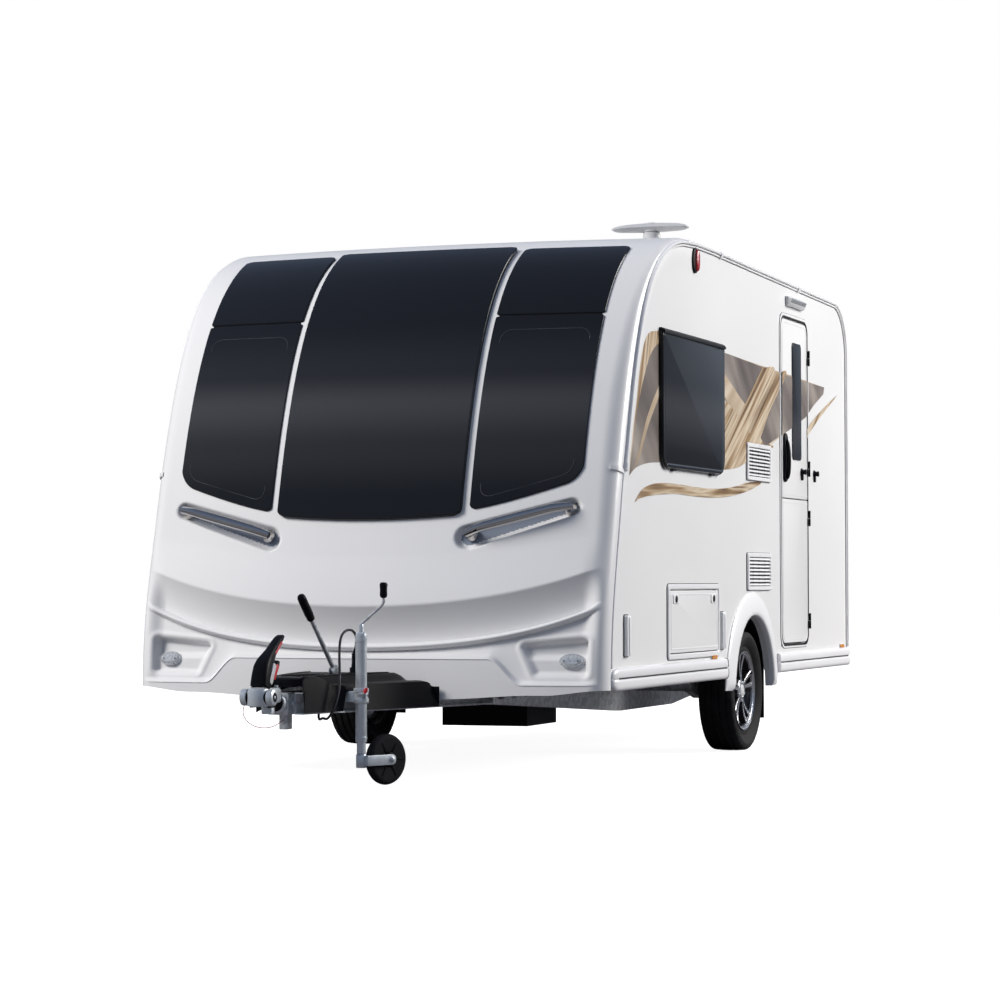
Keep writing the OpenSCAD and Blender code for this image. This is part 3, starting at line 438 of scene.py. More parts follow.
# ---------------------------------------------------------------- bowed front
BOW = 6.5
CORNER = 0.075
NOSE_Z = 0.346
SILL_Z = 1.28
COLUMNS = 132
CURVE_STEPS = 160
UPPER = 200
LOW = ((-0.2, 0.343), (-0.205, 0.7), (-0.13, 0.9), (-0.07, 1.14))
HIGH = ((-0.07, 1.14), (0.07, 1.7028), (0.3, 2.48), (1.1, 2.48))


def outline_table():
    """Girth, station, height and outward normal along the front's middle line."""
    rows = []
    for curve in (LOW, HIGH):
        c = np.array(curve)
        for t in np.linspace(0, 1, CURVE_STEPS, endpoint=curve is HIGH):
            rows.append(c[0] * (1 - t) ** 3 + 3 * c[1] * (1 - t) ** 2 * t + 3 * c[2] * (1 - t) * t
                        * t + c[3] * t ** 3)
    p = np.array(rows)
    d = np.gradient(p, axis=0)
    d /= np.linalg.norm(d, axis=1)[:, None]
    girth = np.concatenate([[0], np.cumsum(np.linalg.norm(np.diff(p, axis=0), axis=1))])
    return girth, p[:, 0], p[:, 1], -d[:, 1], d[:, 0]


GIRTH, FRONT_S, FRONT_Z, FRONT_NS, FRONT_NZ = outline_table()


def at_z(z):
    """Girth at a height."""
    return float(np.interp(z, FRONT_Z, GIRTH))


def slim(g):
    """Share of the corner's full roundness at a girth: it tightens towards the roof."""
    return 1 - 0.62 * ramp(at_z(1.55), at_z(2.42), g)


def at_s(s):
    """Girth of a station on the upper part of the front."""
    return float(np.interp(s, FRONT_S[UPPER:], GIRTH[UPPER:]))


def front(x, g, out=0.0):
    """A point on the bowed front: x across, girth g up the middle line, out along the normal."""
    s = np.interp(g, GIRTH, FRONT_S) + out * np.interp(g, GIRTH, FRONT_NS)
    z = np.interp(g, GIRTH, FRONT_Z) + out * np.interp(g, GIRTH, FRONT_NZ)
    return (x, st(BOW - sqrt((BOW - s) ** 2 - x * x)), z)


def feature_lines(a):
    """Heights of the moulded lines at a distance a from the middle."""
    bottom = NOSE_Z + 0.018 * ramp(0.4, 0.8, a) + 0.022 * ramp(0.85, 1.1, a)
    step = 0.518 if a < 0.61 else 0.405 + 0.113 * (1 - ramp(0.6, 0.755, a))
    bead = 0.59 + 0.1 * a ** 2 + 0.047 * a ** 4
    return (bottom, max(step, bottom + 0.016), bead - 0.036, bead,
            0.748 + 0.11 * a ** 2 + 0.03 * a ** 4, 0.972 + 0.08 * a ** 2)


def signed_distance(p, poly):
    """Distance to a polygon's edge, below 0 inside."""
    best, inside = 1e9, False
    for (ax, ay), (bx, by) in zip(poly, poly[1:] + poly[:1]):
        ex, ey, wx, wy = bx - ax, by - ay, p[0] - ax, p[1] - ay
        t = max(0.0, min(1.0, (wx * ex + wy * ey) / (ex * ex + ey * ey)))
        best = min(best, hypot(wx - t * ex, wy - t * ey))
        if (ay > p[1]) != (by > p[1]) and p[0] < ax + (p[1] - ay) / (by - ay) * ex:
            inside = not inside
    return -best if inside else best


LAMP_PIT = [(0.815, 0.468), (1.02, 0.468), (1.02, 0.596), (0.765, 0.574)]
GRIP_A, GRIP_B = (0.475, 1.066), (0.935, 1.184)


def grip_distance(a, z):
    (x0, z0), (x1, z1) = GRIP_A, GRIP_B
    t = max(0.0, min(1.0, ((a - x0) * (x1 - x0) + (z - z0) * (z1 - z0))
                          / ((x1 - x0) ** 2 + (z1 - z0) ** 2)))
    reach = 0.048 - 0.016 * t
    return hypot(a - x0 - t * (x1 - x0), z - z0 - t * (z1 - z0) + 0.014 * (1 - t)) - reach


def grip_pit(a, z):
    """How far the grab handle's recess sinks the skin."""
    if 0.4 < a < 1.02 and 1.0 < z < 1.25:
        return 0.034 * ramp(0.012, -0.012, grip_distance(a, z))
    return 0.0


def lamp_pit(a, z, out):
    """Sinks the skin to the lamp recess's flat floor, with a rounded wall round it."""
    if not (0.7 < a < 1.07 and 0.42 < z < 0.65):
        return out
    share = ramp(0.016, -0.008, signed_distance((a, z), LAMP_PIT) - 0.006)
    lip = 0.006 * exp(-((signed_distance((a, z), LAMP_PIT) - 0.034) / 0.01) ** 2)
    return (out + lip) * (1 - share) - (0.047 + 0.022 * ramp(0.515, 0.55, z)) * share


def front_rows(a):
    """Rows of (height, out) from the bottom edge up to the sill, at a from the middle."""
    bottom, step, bead0, bead1, crease, upper = feature_lines(a)
    fade = 1 - ramp(1.0, 1.1, a)
    rows = [(bottom, 0.0)]
    rows += [(bottom + (step - bottom) * t, 0.0) for t in (0.3, 0.6, 0.85, 1.0)]
    rows += [(step + 0.002, 0.003), (step + 0.006, 0.002), (step + 0.012, -0.006),
             (step + 0.018, -0.017), (step + 0.024, -0.023)]
    for t in np.linspace(0.03, 1, 40):
        rows.append((step + 0.024 + (bead0 - step - 0.024) * t, -0.023 - 0.019 * t ** 0.8))
    for t in np.linspace(0.1, 1, 11):
        rows.append((bead0 + (bead1 - bead0) * t,
                     -0.042 - 0.006 * t + 0.034 * sin(pi * t) ** 0.75))
    for t in np.linspace(0.04, 1, 26):
        rows.append((bead1 + (crease - bead1) * t, -0.048 + 0.062 * t ** 1.7))
    for t in np.linspace(0.04, 1, 30):
        rows.append((crease + (upper - crease) * t, 0.014 * (1 - t) ** 1.2))
    for t in np.linspace(0.02, 1, 56):
        rows.append((upper + (SILL_Z - upper) * t, 0.0))
    return [(z, lamp_pit(a, z, out * fade) - grip_pit(a, z)) for z, out in rows]


def in_grip(face):
    """Whether a face of the skin lies in the floor of a handle recess, where the skin takes
    painted shade.
    """
    x, _, z = np.mean(face, axis=0)
    return 1.0 < z < 1.25 and grip_distance(abs(x), z) < -0.013


def front_skin():
    """The one-piece front moulding, from its bottom lip to the roof joint."""
    half = HW - CORNER
    high = list(np.linspace(at_z(SILL_Z), at_s(1.1), 70))[1:]
    columns = []
    places = [(x, 0.0, 0.0) for x in np.linspace(0, half, COLUMNS)]
    places += [(half, sin(q), 1 - cos(q)) for q in np.linspace(0, pi / 2, 13)[1:]]
    places.append((half, 1.0, 0.0))
    for k, (x, across, down) in enumerate(places):
        rows = [(at_z(z), out) for z, out in front_rows(x + CORNER * across)] \
            + [(g, 0.0) for g in high]
        rows = [(rows[0][0], -0.03 if k < len(places) - 4 else 0.0)] + rows
        column = []
        for g, out in rows:
            r = CORNER * slim(g)
            back = 0.0795 if k == len(places) - 1 else r * down
            spread = HW - r + r * across if k >= COLUMNS else x * (HW - r) / half
            column.append((spread, g, out - back))
        columns.append(column)
    part = Shape()
    loops = [[front(-x, g, out) for x, g, out in c] for c in columns[:0:-1]]
    loops += [[front(x, g, out) for x, g, out in c] for c in columns]
    n = len(loops[0])
    points = [p for loop in loops for p in loop]
    faces = []
    for i in range(len(loops) - 1):
        for k in range(n - 1):
            f = [i * n + k, i * n + k + 1, (i + 1) * n + k + 1, (i + 1) * n + k]
            mid = np.mean([points[j] for j in f], axis=0)
            if abs(mid[0]) > 0.362 or mid[2] > 0.403:
                faces.append(f)
    # Faces in the floor of each grab handle recess get the painted shade colour in place of the
    # silver.
    deep = [f for f in faces if in_grip([points[j] for j in f])]
    taken = {tuple(f) for f in deep}
    part.add(points, [f for f in faces if tuple(f) not in taken], silver)
    part.add(points, deep, recess)
    part.done("front_moulding", replaces=["front_panel"], angle=50)


def pane(part, x0, x1, low, high, radii, proud=0.0085, mat=None):
    """A curved pane between x0 and x1; low and high give its girths at x. radii: inner and
    outer corner radii at the foot, then at the head."""
    edge = [0, 0.0012, 0.003, 0.006]
    xs = [x0 + e for e in edge] + list(np.linspace(x0 + 0.01, x1 - 0.01, 36)) \
        + [x1 - e for e in edge[::-1]]

    def cut(x, r0, r1):
        d = 0.0
        if x - x0 < r0:
            d = r0 - sqrt(max(0.0, r0 ** 2 - (r0 - (x - x0)) ** 2))
        if x1 - x < r1:
            d = max(d, r1 - sqrt(max(0.0, r1 ** 2 - (r1 - (x1 - x)) ** 2)))
        return d

    loops = []
    for x in xs:
        g0, g1 = low(x) + cut(x, radii[0], radii[1]), high(x) - cut(x, radii[2], radii[3])
        gs = [g0 + e for e in edge] + list(np.linspace(g0 + 0.01, g1 - 0.01, 44)) \
            + [g1 - e for e in edge[::-1]]
        row = []
        for g in gs:
            d = min(x - x0, x1 - x, g - g0, g1 - g, 0.004) / 0.004
            row.append(front(x, g, proud * sqrt(max(0.0, 1 - (1 - d) ** 2))))
        loops.append(row)
    n = len(loops[0])
    faces = [[i * n + k, i * n + k + 1, (i + 1) * n + k + 1, (i + 1) * n + k]
             for i in range(len(loops) - 1) for k in range(n - 1)]
    part.add([p for loop in loops for p in loop], faces, mat or glass)


def front_glazing():
    """The bowed centre pane and the pane and dark panel at each side of it."""
    top = at_s(0.7)
    centre = Shape()
    pane(centre, -0.443, 0.443, lambda x: at_z(1.13 + 0.1 * x * x), lambda x: top,
         (0.035, 0.035, 0.03, 0.03), 0.019)
    centre.done("glazing_centre", replaces=["front_window_centre"], angle=60)
    wings = Shape()
    for sign in (1, -1):
        def foot(x):
            return at_z(1.172 + 0.135 * ((abs(x) - 0.475) / 0.497) ** 1.25)

        ends = (0.476, 0.974) if sign > 0 else (-0.974, -0.476)
        near_first = (0.03, 0.075) if sign > 0 else (0.075, 0.03)
        pane(wings, *ends, foot, lambda x: at_z(2.053), near_first + (0.016, 0.016))
        pane(wings, *ends, lambda x: at_z(2.06), lambda x: top, (0.012, 0.012, 0.04, 0.04))
        frame_line = [(x, at_z(z) + (foot(x) - at_z(1.172)) * (2.0 - z) / 0.8)
                      for x, z in rounded(ends[0] + 0.045, ends[1] - 0.045, 1.215, 1.985, 0.05)]
        line = [front(x, g, 0.0085) for x, g in frame_line]
        wings.tube(line + line[:1], 0.0022, pane_line, 8)
        joint = (ends[0] + 0.012, ends[1] - 0.012)
        pane(wings, *joint, lambda x: at_z(2.03), lambda x: at_z(2.08), (0.002,) * 4, 0.004,
             pane_edge)
    wings.done("glazing_wings", replaces=["front_side_windows"], angle=60)


def along_grip(t):
    """Distance from the middle and height at a share t of a grab handle's length."""
    return (GRIP_A[0] + (GRIP_B[0] - GRIP_A[0]) * t, GRIP_A[1] + (GRIP_B[1] - GRIP_A[1]) * t)


def front_details():
    """Joint clips and grab bars of the front."""
    bars, mounts, clips = Shape(), Shape(), Shape()
    steps = np.linspace(0, 1, 19)
    for sign in (1, -1):
        arch = [0.01 + 0.036 * sin(pi * min(1, max(0, (t + 0.02) / 0.22)) / 2) ** 1.2
                * sin(pi * min(1, max(0, (1.02 - t) / 0.22)) / 2) ** 1.2 for t in steps]
        path = [front(sign * x, at_z(z), out) for (x, z), out in zip(map(along_grip, steps), arch)]
        girths = [0.0185 + 0.003 * abs(sin(pi * t)) for t in steps]
        bars.tube(path, girths, chrome, sides=18)
        for x, z in map(along_grip, (0.03, 0.97)):
            mounts.tube([front(sign * x, at_z(z), out) for out in (-0.024, -0.012, 0.004)],
                        [0.03, 0.029, 0.02], chrome, 24)
        clip = [front(sign * x, at_z(CLIP_Z) + e, out) for e in (-0.01, 0.01)
                for x, out in ((HW + 0.0045, -0.078), (HW + 0.0045, -0.05), (HW - 0.01, -0.018),
                               (HW - 0.034, -0.004), (HW - 0.038, -0.014), (HW - 0.01, -0.08))]
        clips.stack([clip[:6], clip[6:]], silver)
    clips.done("joint_clips", slot="front_moulding")
    bars.done("grab_bars", replaces=["grab_handles"], slot="bright_metal")
    mounts.done("grab_bar_feet", slot="bright_metal")


# ---------------------------------------------------------------- side walls and trim
SKIRTS = ((0.03, 1.804), (2.836, 4.42))
DOOR_S = (2.935, 3.495)
DOOR_Z = (0.531, 2.255)
SPLIT = 1.3
CLIP_Z = 1.36


def wrap(g):
    """Depth at which the moulding's side meets the rail."""
    return 0.08 - 0.066 * ramp(at_z(1.45), at_z(2.4), g)


def edge_path():
    """Outline of the side wall seen from the side, with its inward normals."""
    pts = []
    for g in np.linspace(at_z(0.484), at_s(1.06), 90):
        p = front(HW, g, -wrap(g))
        pts.append((p[1] - LINE, p[2]))
    pts.append((1.34, roof_z(1.34) - 0.004))
    pts += [(s, roof_z(s)) for s in np.linspace(1.6, BODY_L - 0.3, 8)]
    top = roof_z(BODY_L - 0.3)
    pts += [(BODY_L - 0.3 + 0.3 * sin(q), top - 0.3 + 0.3 * cos(q))
            for q in np.linspace(0.1, pi / 2, 14)]
    pts.append((BODY_L, 0.484))
    out = []
    for k, p in enumerate(pts):
        a, b = np.array(pts[max(0, k - 1)]), np.array(pts[min(len(pts) - 1, k + 1)])
        d = (b - a) / np.linalg.norm(b - a)
        out.append((p[0], p[1], d[1], -d[0]))
    return out


def rail_part(sign):
    """The rail along a side's edge: bead, flange, sealant lines and joint clips."""
    place = side(sign)
    path = edge_path()
    bead, flange, lines = Shape(), Shape(), Shape()

    def sweep(part, profile, mat, rows=path):
        part.stack([[place(s + d * ns, z + d * nz, h * grow(s, z)) for d, h in profile]
                    for s, z, ns, nz in rows], mat)

    def grow(s, z):
        return 0.45 if s < 0.6 and z < CLIP_Z else 1.0

    sweep(bead, [(0.0, -0.006), (0.0, 0.006), (0.002, 0.0105), (0.0055, 0.0135), (0.0095, 0.0135),
                 (0.0125, 0.011), (0.0135, 0.006), (0.0135, -0.006)], trim)
    sweep(flange, [(0.0165, -0.006), (0.0165, 0.0055), (0.018, 0.0075), (0.024, 0.0075),
                   (0.026, 0.005), (0.026, -0.006)], trim)
    sweep(lines, [(0.013, -0.006), (0.013, 0.0045), (0.017, 0.0045), (0.017, -0.006)], dark_seam_and_shadow)
    sweep(lines, [(0.0255, -0.006), (0.0255, 0.0018), (0.0285, 0.0012), (0.0285, -0.006)], dark_seam_and_shadow)
    clips = [k for k, (s, z, _, _) in enumerate(path) if s < 0.3 and z > CLIP_Z][:1]
    for s0 in (1.75, 3.3):
        clips.append(min(range(len(path)),
                         key=lambda k: abs(path[k][0] - s0) + (10 if path[k][1] < 2.2 else 0)))
    for k in clips:
        s, z, ns, nz = path[k]
        shift = 0 if s < 1 else (1.75 if s < 2.5 else 3.3) - s
        ts, tz = -nz, ns
        s, z = s + shift, z + shift * (tz / ts if abs(ts) > 0.5 else 0)
        band = []
        for e in (-0.016, 0.016):
            for d, h in ((-0.001, -0.004), (-0.001, 0.013), (0.004, 0.0175), (0.012, 0.0175),
                         (0.029, 0.01), (0.029, -0.004)):
                band.append(place(s + e * ts + d * ns, z + e * tz + d * nz, h))
        bead.stack([band[:6], band[6:]], trim)
    fill = Shape()
    rows = [(s, z, ns, nz) for s, z, ns, nz in path if z > 1.44 and s < 1.35]
    fill.stack([[place(s + d * ns, z + d * nz, h)
                 for d, h in ((0.004, 0.0), (0.006, 0.0009), (0.07, 0.0009), (0.11, 0.0003))]
                for s, z, ns, nz in rows], white, caps=(False, False), closed=False)
    fill.done(f"wall_edge_{hand(sign)}")
    for part, name in ((bead, "bead"), (flange, "flange"), (lines, "seal")):
        part.done(f"edge_rail_{name}_{hand(sign)}", replaces=["edge_rails"] if name == "bead"
                  else ())


SKIRT = [(-0.002, 0.4805), (0.008, 0.48), (0.0145, 0.4765), (0.0185, 0.47), (0.02, 0.461),
         (0.02, 0.4395), (0.019, 0.4375), (0.011, 0.4365), (0.011, 0.43), (0.0195, 0.429),
         (0.0215, 0.4265), (0.0218, 0.415), (0.0218, 0.4), (0.02, 0.391), (0.015, 0.3835),
         (0.008, 0.3795), (-0.002, 0.3785)]
SKIRT_MID = 0.4295


def skirt_part(sign):
    """The moulded strips along the foot of a side."""
    place = side(sign)
    part, dark = Shape(), Shape()
    for s0, s1 in SKIRTS:
        blunt = s0 < 1
        loops = []
        ease = [0, 0.08, 0.2, 0.4, 0.7, 1.0] if blunt else [1.0]
        for e in ease:
            q = sin(e * pi / 2)
            s = s0 - 0.052 + 0.062 * (1 - cos(e * pi / 2)) if blunt else s0
            loops.append([place(s, SKIRT_MID + (z - SKIRT_MID) * (0.35 + 0.65 * q),
                                h * (0.15 + 0.85 * q)) for h, z in SKIRT])
        loops.append([place(s1, z, h) for h, z in SKIRT])
        part.stack(loops, trim)
        dark.bar(((0.0105, 0.4362), (0.0125, 0.4362), (0.0125, 0.4303), (0.0105, 0.4303)), place,
                 (s0 + 0.03, s1 - 0.004), dark_seam_and_shadow)
        if blunt:
            cap = [(h + (0.0015 if h > 0 else 0), SKIRT_MID + (z - SKIRT_MID) * 1.03)
                   for h, z in SKIRT]
            dark.bar(cap, place, (s1 - 0.002, s1 + 0.003), gasket)
    part.done(f"skirt_{hand(sign)}", replaces=["side_skirts"])
    dark.done(f"skirt_line_{hand(sign)}")


def spat_part(sign):
    """Convex moulding round the wheel arch, rolled into the arch at its inner edge."""
    place = side(sign)
    part = Shape()
    r0, r1 = 0.38, 0.5
    profile = [(r1, -0.002), (r1 - 0.001, 0.004), (r1 - 0.006, 0.0085), (r1 - 0.018, 0.0125),
               (r1 - 0.04, 0.0175), (r1 - 0.065, 0.0222), (r1 - 0.088, 0.0252),
               (r0 + 0.022, 0.0258), (r0 + 0.01, 0.024), (r0 + 0.003, 0.019), (r0, 0.011),
               (r0, -0.03)]
    start = degrees(asin((0.318 - AXLE_Z) / 0.44))
    loops = []
    for k, t in enumerate(np.radians(np.linspace(start, 180 - start, 97))):
        end = min(k, 96 - k)
        swell = (0.25, 0.7, 0.9, 1.0)[min(end, 3)]
        loops.append([place(AXLE_S + r * cos(t), AXLE_Z + r * sin(t), h * (swell if h > 0 else 1))
                      for r, h in profile])
    part.stack(loops, trim)
    part.done(f"arch_moulding_{hand(sign)}", replaces=["wheel_spats"])


def hung_window(s0, s1, z0, z1, place, name, replaces=()):
    """A top-hung pane on its black frame."""
    frame_part, sheet = Shape(), Shape()
    outline = rounded(s0, s1, z0, z1, (0.085, 0.085, 0.03, 0.03))
    frame_part.ring(outline, inset(outline, 0.045), place, -0.002, 0.0165, pane_edge, 0.004)
    rim = inset(outline, 0.004)
    sheet.slab(rim, place, 0.01, 0.022, glass, bevel=0.0045, steps=5)
    sheet.slab(inset(rim, 0.02), place, 0.0218, 0.0232, glass, bevel=0.0012)
    rail = [(0.0, z1 + 0.006), (0.012, z1 + 0.006), (0.022, z1 + 0.001), (0.0295, z1 - 0.008),
            (0.0295, z1 - 0.018), (0.021, z1 - 0.022), (0.0, z1 - 0.022)]
    frame_part.bar(rail, place, (s0 + 0.006, s1 - 0.006), black)
    foot = [(0.018, z0 + 0.024), (0.0245, z0 + 0.024), (0.025, z0 + 0.02), (0.0245, z0 + 0.016),
            (0.018, z0 + 0.016)]
    sheet.bar(foot, place, (s0 + 0.05, s1 - 0.05), chrome)
    for s in (s0 + 0.2, s1 - 0.2):
        frame_part.plate(s - 0.03, s + 0.03, z0 - 0.006, z0 + 0.004, 0.004, place, 0.0, 0.016,
                         black, 0.002)
    frame_part.done(f"window_frame_{name}", slot="black_plastic")
    sheet.done(f"window_pane_{name}", replaces=replaces)


def vent(s0, s1, z0, z1, place, part, dark):
    """A louvred vent: frame, dark mesh behind and sloping slats."""
    outline = rounded(s0, s1, z0, z1, 0.014)
    hole = rounded(s0 + 0.026, s1 - 0.026, z0 + 0.02, z1 - 0.022, 0.005)
    part.ring(outline, hole, place, -0.001, 0.0118, trim, 0.003)
    dark.slab(outline, place, -0.001, 0.0022, dark_seam_and_shadow, 0.0005)
    rim = inset(outline, -0.0025)
    dark.ring(rim, outline, place, -0.001, 0.003, dark_seam_and_shadow, 0.0008)
    n = 8
    pitch = (z1 - z0 - 0.042) / n
    for k in range(n):
        z = z0 + 0.02 + pitch * (k + 0.5)
        slat = [(0.0105, z - 0.3 * pitch), (0.0045, z + 0.22 * pitch), (0.0062, z + 0.26 * pitch),
                (0.0122, z - 0.22 * pitch)]
        part.bar(slat, place, (s0 + 0.024, s1 - 0.024), trim)
    for q in (0.25, 0.5, 0.75):
        s = s0 + (s1 - s0) * q
        dark.plate(s - 0.002, s + 0.002, z0 + 0.02, z1 - 0.022, 0.001, place, 0.002, 0.0065, dark_seam_and_shadow,
                   0.0005)
    part.slab(ellipse((s0 + s1) / 2, z1 - 0.011, 0.009, 0.006, 20), place, 0.011, 0.0135, trim,
              0.001)


def near_side_fittings():
    """The fridge vents and awning brackets of the nearside."""
    part, dark = Shape(), Shape()
    for z in (0.813, 1.372):
        vent(2.225, 2.695, z, z + 0.19, near, part, dark)
    part.done("vents", replaces=["fridge_vents"])
    dark.done("vent_mesh")
    bars, shade = Shape(), Shape()
    for s in (0.19, 1.752):
        outline = rounded(s - 0.03, s + 0.03, 0.528, 0.708, 0.008)
        bars.slab(outline, near, -0.001, 0.019, trim, 0.007, 4)
        bars.plate(s - 0.012, s + 0.014, 0.536, 0.7, 0.006, near, 0.016, 0.023, trim, 0.004, 4)
        # A dark ring round each bracket's foot is painted shadow where the bar stands off the
        # wall.
        shade.ring(inset(outline, -0.0045), outline, near, -0.001, 0.004, dark_seam_and_shadow, 0.001)
    bars.done("awning_brackets")
    shade.done("awning_bracket_painted_shadow")


def service_fittings():
    """Small hatches and sockets of the offside, away from the windows."""
    part, dark = Shape(), Shape()
    for s, z, w, h in ((0.42, 0.62, 0.16, 0.19), (1.1, 0.6, 0.2, 0.16), (2.98, 0.66, 0.15, 0.15)):
        outline = rounded(s, s + w, z, z + h, 0.016)
        part.slab(outline, off, -0.001, 0.01, trim, 0.004, 4)
        part.plate(s + 0.016, s + w - 0.016, z + 0.016, z + h - 0.016, 0.008, off, 0.009, 0.0135,
                   trim, 0.003, 3)
        dark.ring(inset(outline, -0.003), outline, off, -0.001, 0.003, dark_seam_and_shadow, 0.0008)
        part.lathe([(0.01, 0.0), (0.01, 0.0175), (0.008, 0.019)],
                   moved(off, s + w / 2, z + h - 0.04), black, 24)
    part.done("service_sockets")
    dark.done("service_socket_seals")


# ---------------------------------------------------------------- lamps
def lamps():
    """Side markers and reflectors, the light over the door and the front lenses."""
    red_part, base = Shape(), Shape()
    for place in (near, off):
        s, z = 1.3, 2.388
        oval = ellipse(s, z, 0.044, 0.062, 40)
        base.slab(oval, place, -0.001, 0.01, black, 0.004, 3)
        half = [(s + 0.012 + (a - s) * 0.64, z + (b - z) * 0.86) for a, b in oval]
        red_part.slab(half, place, 0.008, 0.0215, red, 0.012, 6)
    red_part.done("side_markers", replaces=["marker_lamps"])
    base.done("side_marker_bases")
    glow, tray = Shape(), Shape()
    for place in (near, off):
        for s0 in (1.56, 4.24):
            tray.plate(s0 - 0.003, s0 + 0.083, 0.479, 0.503, 0.004, place, -0.001, 0.006, trim,
                       0.001)
            for k in (0, 1):
                a = s0 + 0.042 * k
                glow.plate(a, a + 0.038, 0.481, 0.501, 0.004, place, 0.002, 0.012, amber, 0.003)
    glow.done("side_reflectors", slot="amber_lens")
    tray.done("reflector_trays")
    body, lens = Shape(), Shape()
    s0, s1, z0, z1 = 3.04, 3.39, 2.328, 2.378
    section = [(0, z1), (0.022, z1), (0.03, z1 - 0.006), (0.033, z1 - 0.014), (0.024, z0 + 0.01),
               (0.016, z0), (0, z0)]
    ends = (s0, s0 + 0.014, s1 - 0.014, s1)
    body.stack([[near(s, b, h * (0.6 if k in (0, 3) else 1)) for h, b in section]
                for k, s in enumerate(ends)], grey)
    shade = [(0.0225, z0 + 0.009), (0.0345, z1 - 0.016), (0.0325, z1 - 0.01), (0.015, z0 + 0.012)]
    lens.bar(shade, near, (s0 + 0.016, s1 - 0.016), clear)
    body.done("awning_light")
    lens.done("awning_light_lens", slot="amber_lens")
    nose, ring_part = Shape(), Shape()
    for sign in (1, -1):
        def at(a, b, h, sign=sign):
            return front(sign * (0.962 + a), at_z(0.516 + b), -0.05 + h - 0.25 * b)

        oval = ellipse(0.0, 0.0, 0.056, 0.033, 40)
        ring_part.slab(oval, at, -0.002, 0.008, clear, 0.003)
        nose.slab(inset(oval, 0.006), at, 0.006, 0.02, clear, 0.016, 8)
        for a in (-0.03, 0.03):
            nose.slab(ellipse(a, 0.0, 0.004, 0.004, 12), at, 0.015, 0.0225, chrome, 0.001)
    nose.done("front_lenses", slot="amber_lens")
    ring_part.done("front_lens_rims", slot="amber_lens")


def rear_parts():
    """Lamp towers, bumper, plate, number lamp, third lamp and grab handles of the back."""
    tower, lens, white_part = Shape(), Shape(), Shape()
    for sign in (1, -1):
        def at(a, b, h, sign=sign):
            return (sign * a, REAR_Y + h, b)

        tower.plate(HW - 0.19, HW - 0.04, 0.72, 1.24, 0.035, at, -0.001, 0.018, black, 0.006, 4)
        for z0, z1, mat in ((0.742, 0.885, red), (0.897, 1.0, amber), (1.012, 1.112, clear),
                            (1.124, 1.22, red)):
            lens.plate(HW - 0.176, HW - 0.054, z0, z1, 0.028, at, 0.014, 0.034, mat, 0.01, 6)
    lens.done("rear_lenses", replaces=["rear_lamp_clusters"], slot="red_lens")
    tower.done("rear_lamp_towers")
    profile = []
    z0, d = 0.378, 0.06
    for q in np.linspace(0, pi / 2, 8):
        profile.append((d - 0.042 + 0.042 * cos(q), z0 + 0.128 + 0.042 * sin(q)))
    profile += [(-0.004, z0 + 0.17), (-0.004, z0)]
    for q in np.linspace(-pi / 2, 0, 8):
        profile.append((d - 0.042 + 0.042 * cos(q), z0 + 0.042 + 0.042 * sin(q)))
    loops = []
    for x in np.linspace(-1, 1, 41):
        squeeze = sqrt(max(0.0, 1 - max(0.0, (abs(x) - 0.94) / 0.062) ** 2)) \
            if abs(x) > 0.94 else 1.0
        loops.append([(x * 1.058, REAR_Y + h * max(squeeze, 0.3), b) for h, b in profile])
    white_part.stack(loops, trim)
    white_part.done("rear_bumper_skin", replaces=["rear_bumper"])
    trims = Shape()
    trims.plate(-0.27, 0.27, 0.61, 0.735, 0.012, on_rear, -0.001, 0.008, grey, 0.003)
    trims.plate(-0.262, 0.262, 0.618, 0.727, 0.008, on_rear, 0.007, 0.0105, white, 0.001)
    trims.plate(-0.075, 0.075, 0.744, 0.772, 0.01, on_rear, -0.001, 0.026, black, 0.006)
    trims.plate(-0.18, 0.18, 2.115, 2.14, 0.01, on_rear, -0.001, 0.016, red, 0.005)
    for sign in (1, -1):
        x, z0, rise = sign * 0.62, 0.8, 0.24
        path = [(x, REAR_Y, z0 - 0.02)]
        path += [(x, REAR_Y + 0.042 * sin(pi * t) ** 0.5, z0 + rise * t)
                 for t in np.linspace(0.04, 0.96, 13)]
        path.append((x, REAR_Y, z0 + rise + 0.02))
        trims.tube(path, 0.012, chrome, 14)
    trims.done("rear_trim", slot="grey_plastic")


